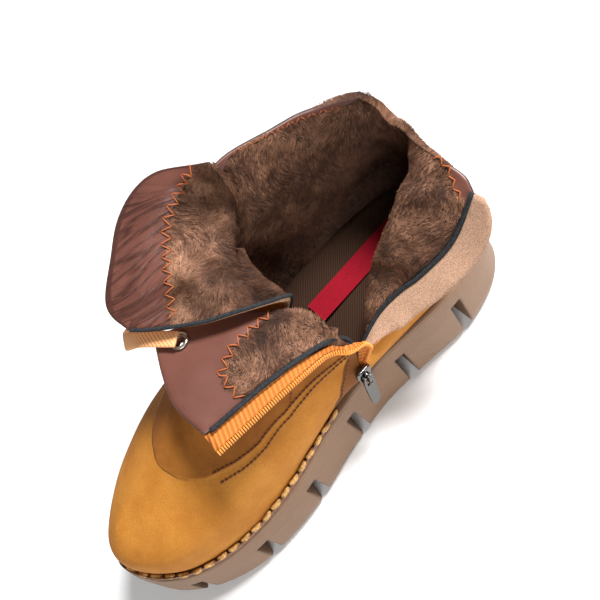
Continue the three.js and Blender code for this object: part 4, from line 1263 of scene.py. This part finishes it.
def buildPull():
    bm = bmesh.new()
    rows = [(-0.75, 2.3), (0.75, 2.9), (2.5, 3.1), (5.6, 3.1), (7, 3.05), (11, 3.0), (15, 2.9),
            (18.5, 2.7), (20.3, 2.0), (21, 0.9)]
    slot = 1.6
    layers = []
    for y, w in rows:
        bend = 3.6 + 0.0028 * y * y * (1 if y > 0 else 0)
        ring = []
        for z in (-0.62, 0.62):
            ring.append([bm.verts.new(metres(sliderSpace((x, y, bend + z))))
                         for x in (-w, -slot if w > slot else -w / 2, slot if w > slot else w / 2, w)])
        layers.append(ring)
    for k in range(len(layers) - 1):
        (a0, a1), (b0, b1) = layers[k], layers[k + 1]
        hole = 1 <= k <= 2
        for j in range(3):
            if hole and j == 1:
                continue
            bm.faces.new((a1[j], a1[j + 1], b1[j + 1], b1[j]))
            bm.faces.new((a0[j], b0[j], b0[j + 1], a0[j + 1]))
        bm.faces.new((a0[0], a1[0], b1[0], b0[0]))
        bm.faces.new((a1[3], a0[3], b0[3], b1[3]))
        if hole:
            bm.faces.new((a1[1], a0[1], b0[1], b1[1]))
            bm.faces.new((a0[2], a1[2], b1[2], b0[2]))
    for ring in (layers[0], layers[-1]):
        for j in range(3):
            bm.faces.new((ring[0][j], ring[0][j + 1], ring[1][j + 1], ring[1][j]))
    for k in (1, 3):
        bm.faces.new((layers[k][0][1], layers[k][0][2], layers[k][1][2], layers[k][1][1]))
    bmesh.ops.recalc_face_normals(bm, faces=bm.faces)
    mesh = bpy.data.meshes.new("zipPull")
    bm.to_mesh(mesh)
    bm.free()
    mesh.materials.append(gunmetal)
    mesh.polygons.foreach_set("use_smooth", [True] * len(mesh.polygons))
    made = placeObject("zipPull", mesh)
    modifier = made.modifiers.new("soft", "BEVEL")
    modifier.width, modifier.segments = 0.00035, 3
    modifier.limit_method, modifier.angle_limit = "ANGLE", math.radians(40)
    made.modifiers.new("shade", "WEIGHTED_NORMAL")
    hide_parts("zip_pull")
    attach(made, "pull_tab")


buildSlider()
buildPull()
print("stage: slider")


# Sole, welt, insole

for name, material in (("outsole", soleRubber), ("insole_label", redLabel), ("welt", weltLeather)):
    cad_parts[name].data.materials.clear()
    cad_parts[name].data.materials.append(material)


insole = {"rows": 83, "pitch": 3.0, "across": 18, "over": 1.2, "rise": 3.5, "cup": 1.8, "thick": 2.6}


def buildInsole():
    # Rows across the foot, let a little way into the upper's wall.
    foot = [upperAt(lastStation * k / 160, 0) for k in range(160)]
    rings = []
    for k in range(insole["rows"]):
        x = 9.5 + insole["pitch"] * k
        crossings = sorted((a.lerp(b, (x - a.x) / (b.x - a.x)) for a, b in zip(foot, foot[1:] + foot[:1])
                            if (a.x - x) * (b.x - x) < 0), key=lambda p: p.y)
        if len(crossings) < 2:
            continue
        near, far = crossings[0], crossings[-1]
        top, low = [], []
        for j in range(insole["across"] + 1):
            f = j / insole["across"]
            y = near.y - insole["over"] + (far.y - near.y + 2 * insole["over"]) * f
            z = (near.z + far.z) / 2 + insole["rise"] + insole["cup"] * abs(2 * f - 1) ** 8
            top.append(Vector((x, y, z)))
            low.append(Vector((x, y, z - insole["thick"])))
        rings.append(low + list(reversed(top)))
    made = stripObject("insoleSheet", rings, ribbed)
    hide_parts("insole")


buildInsole()
print("stage: sole")


# Stitches

frontZigzag = [(0.08, 6.44), (0.4, 6.42), (0.72, 6.36), (0.9, 6.18), (1.04, 6.0), (1.16, 5.72),
               (1.28, 5.48), (1.45, 5.1)]
rearZigzag = [(16.6, 7.0), (16.88, 6.98), (17.7, 6.78), (18.2, 6.74), (18.95, 6.72)]
tongueZigzag = [(4.7, 8.6), (4.6, 8.35), (4.3, 7.7), (4.0, 7.3), (3.6, 7.18), (3, 7.15), (2, 7.15),
                (1, 7.12), (0.25, 7.1)]
collarLine = [(11, 6.96), (12.2, 6.92), (13.1, 6.76), (13.7, 6.62)]
for name, surface, normalOf, places, reach in (
        ("zigzagFront", upperShaped, upperNormal, frontZigzag, 2.1),
        ("zigzagRear", upperShaped, upperNormal, rearZigzag, 1.3),
        ("zigzagTongue", tongueShaped, tongueNormal, tongueZigzag, 2.4)):
    stitchRow(name, surfaceLine(surface, normalOf, places), 0.45, zigzagThread, 2.85, 0.0, 0.36,
              zigzag=reach)
stitchRow("zigzagCollar", surfaceLine(upperShaped, upperNormal, collarLine), 0.4, zigzagThread, 1.7, 1.1,
          0.26, zigzag=0.8)

# Double seam under the flap, its branch, and the thick welt stitches round the foot.
for k, higher in enumerate((0.03, -0.14)):
    places = [(u, v + higher) for u, v in seamRow[1:11]]
    stitchRow("seamRow.%d" % (k + 1), outerLine(places), 0.15, seamThread, 1.9, 0.5, 0.55)
branch = [(1.62, 1.98), (1.5, 2.2), (1.4, 2.5), (1.36, 2.8)]
stitchRow("seamBranch", outerLine(branch), 0.15, seamThread, 1.5, 0.7, 0.32)
backSeam = [(u - 0.09, v) for v, u in stripReach[1:6]]
stitchRow("seamStrip", outerLine(backSeam), 0.15, seamThread, 1.8, 0.7, 0.34)
around = [(1.15 + 0.25 * k, 0.16) for k in range(39)]
stitchRow("weltStitches", outerLine(around, 3), 1.3, weltThread, 6.0, 1.5, 1.25, zigzag=0.6, sides=8)


def edgePiping(name, surface, normalOf, places, lift, radius):
    verts, faces = [], []
    path = [p + n * lift for p, n in surfaceLine(surface, normalOf, places, steps=6)]
    tubeInto(verts, faces, path, radius, 8, taper=False)
    meshObject(name, verts, faces, blueBinding)


edgePiping("pipingFront", upperShaped, upperNormal, [(0, 1.7 + 0.25 * k) for k in range(22)], 0.1, 1.15)
edgePiping("pipingTongue", tongueShaped, tongueNormal, [(0.05, 2.6 + 0.25 * k) for k in range(26)],
           0.6, 0.95)
print("stage: stitches")


# Stage, light and camera

bm = bmesh.new()
bmesh.ops.create_grid(bm, x_segments=1, y_segments=1, size=3.0)
mesh = bpy.data.meshes.new("floor")
bm.to_mesh(mesh)
bm.free()
mesh.materials.append(plainMaterial("paleFloor", (0.93, 0.93, 0.93), 0.9))
floor = placeObject("floor", mesh)
floor.location.z = -0.0005

world = bpy.data.worlds.new("studio")
bpy.context.scene.world = world
world.use_nodes = True
sky = world.node_tree.nodes["Background"]
sky.inputs["Color"].default_value = rgb(1.0, 0.995, 0.98)
sky.inputs["Strength"].default_value = 0.2


def areaLight(name, place, target, size, power):
    data = bpy.data.lights.new(name, "AREA")
    data.shape, data.size, data.energy = "DISK", size, power
    made = placeObject(name, data)
    made.location = place
    made.rotation_mode = "QUATERNION"
    made.rotation_quaternion = (Vector(target) - Vector(place)).to_track_quat("-Z", "Y")


middleOfBoot = (0.05, 0, 0.06)
areaLight("key", (-0.68, -0.05, 1.1), middleOfBoot, 0.42, 32)
areaLight("fill", (0.55, 1.05, 0.7), middleOfBoot, 0.8, 9)

data = bpy.data.cameras.new("camera")
data.lens, data.sensor_width = 38.34, 36
data.clip_start, data.clip_end = 0.01, 10
camera = placeObject("camera", data)
right, down, forward = (-0.6706, 0.6146, -0.4154), (0.7418, 0.5506, -0.3829), (-0.0066, -0.5649, -0.8252)
place = (0.0766, 0.1728, 0.3271)
camera.matrix_world = Matrix([(r, -d, -f, p) for r, d, f, p in zip(right, down, forward, place)]
                             + [(0, 0, 0, 1)])
bpy.context.scene.camera = camera
bpy.context.scene.view_settings.view_transform = "Standard"

print("stage: done")
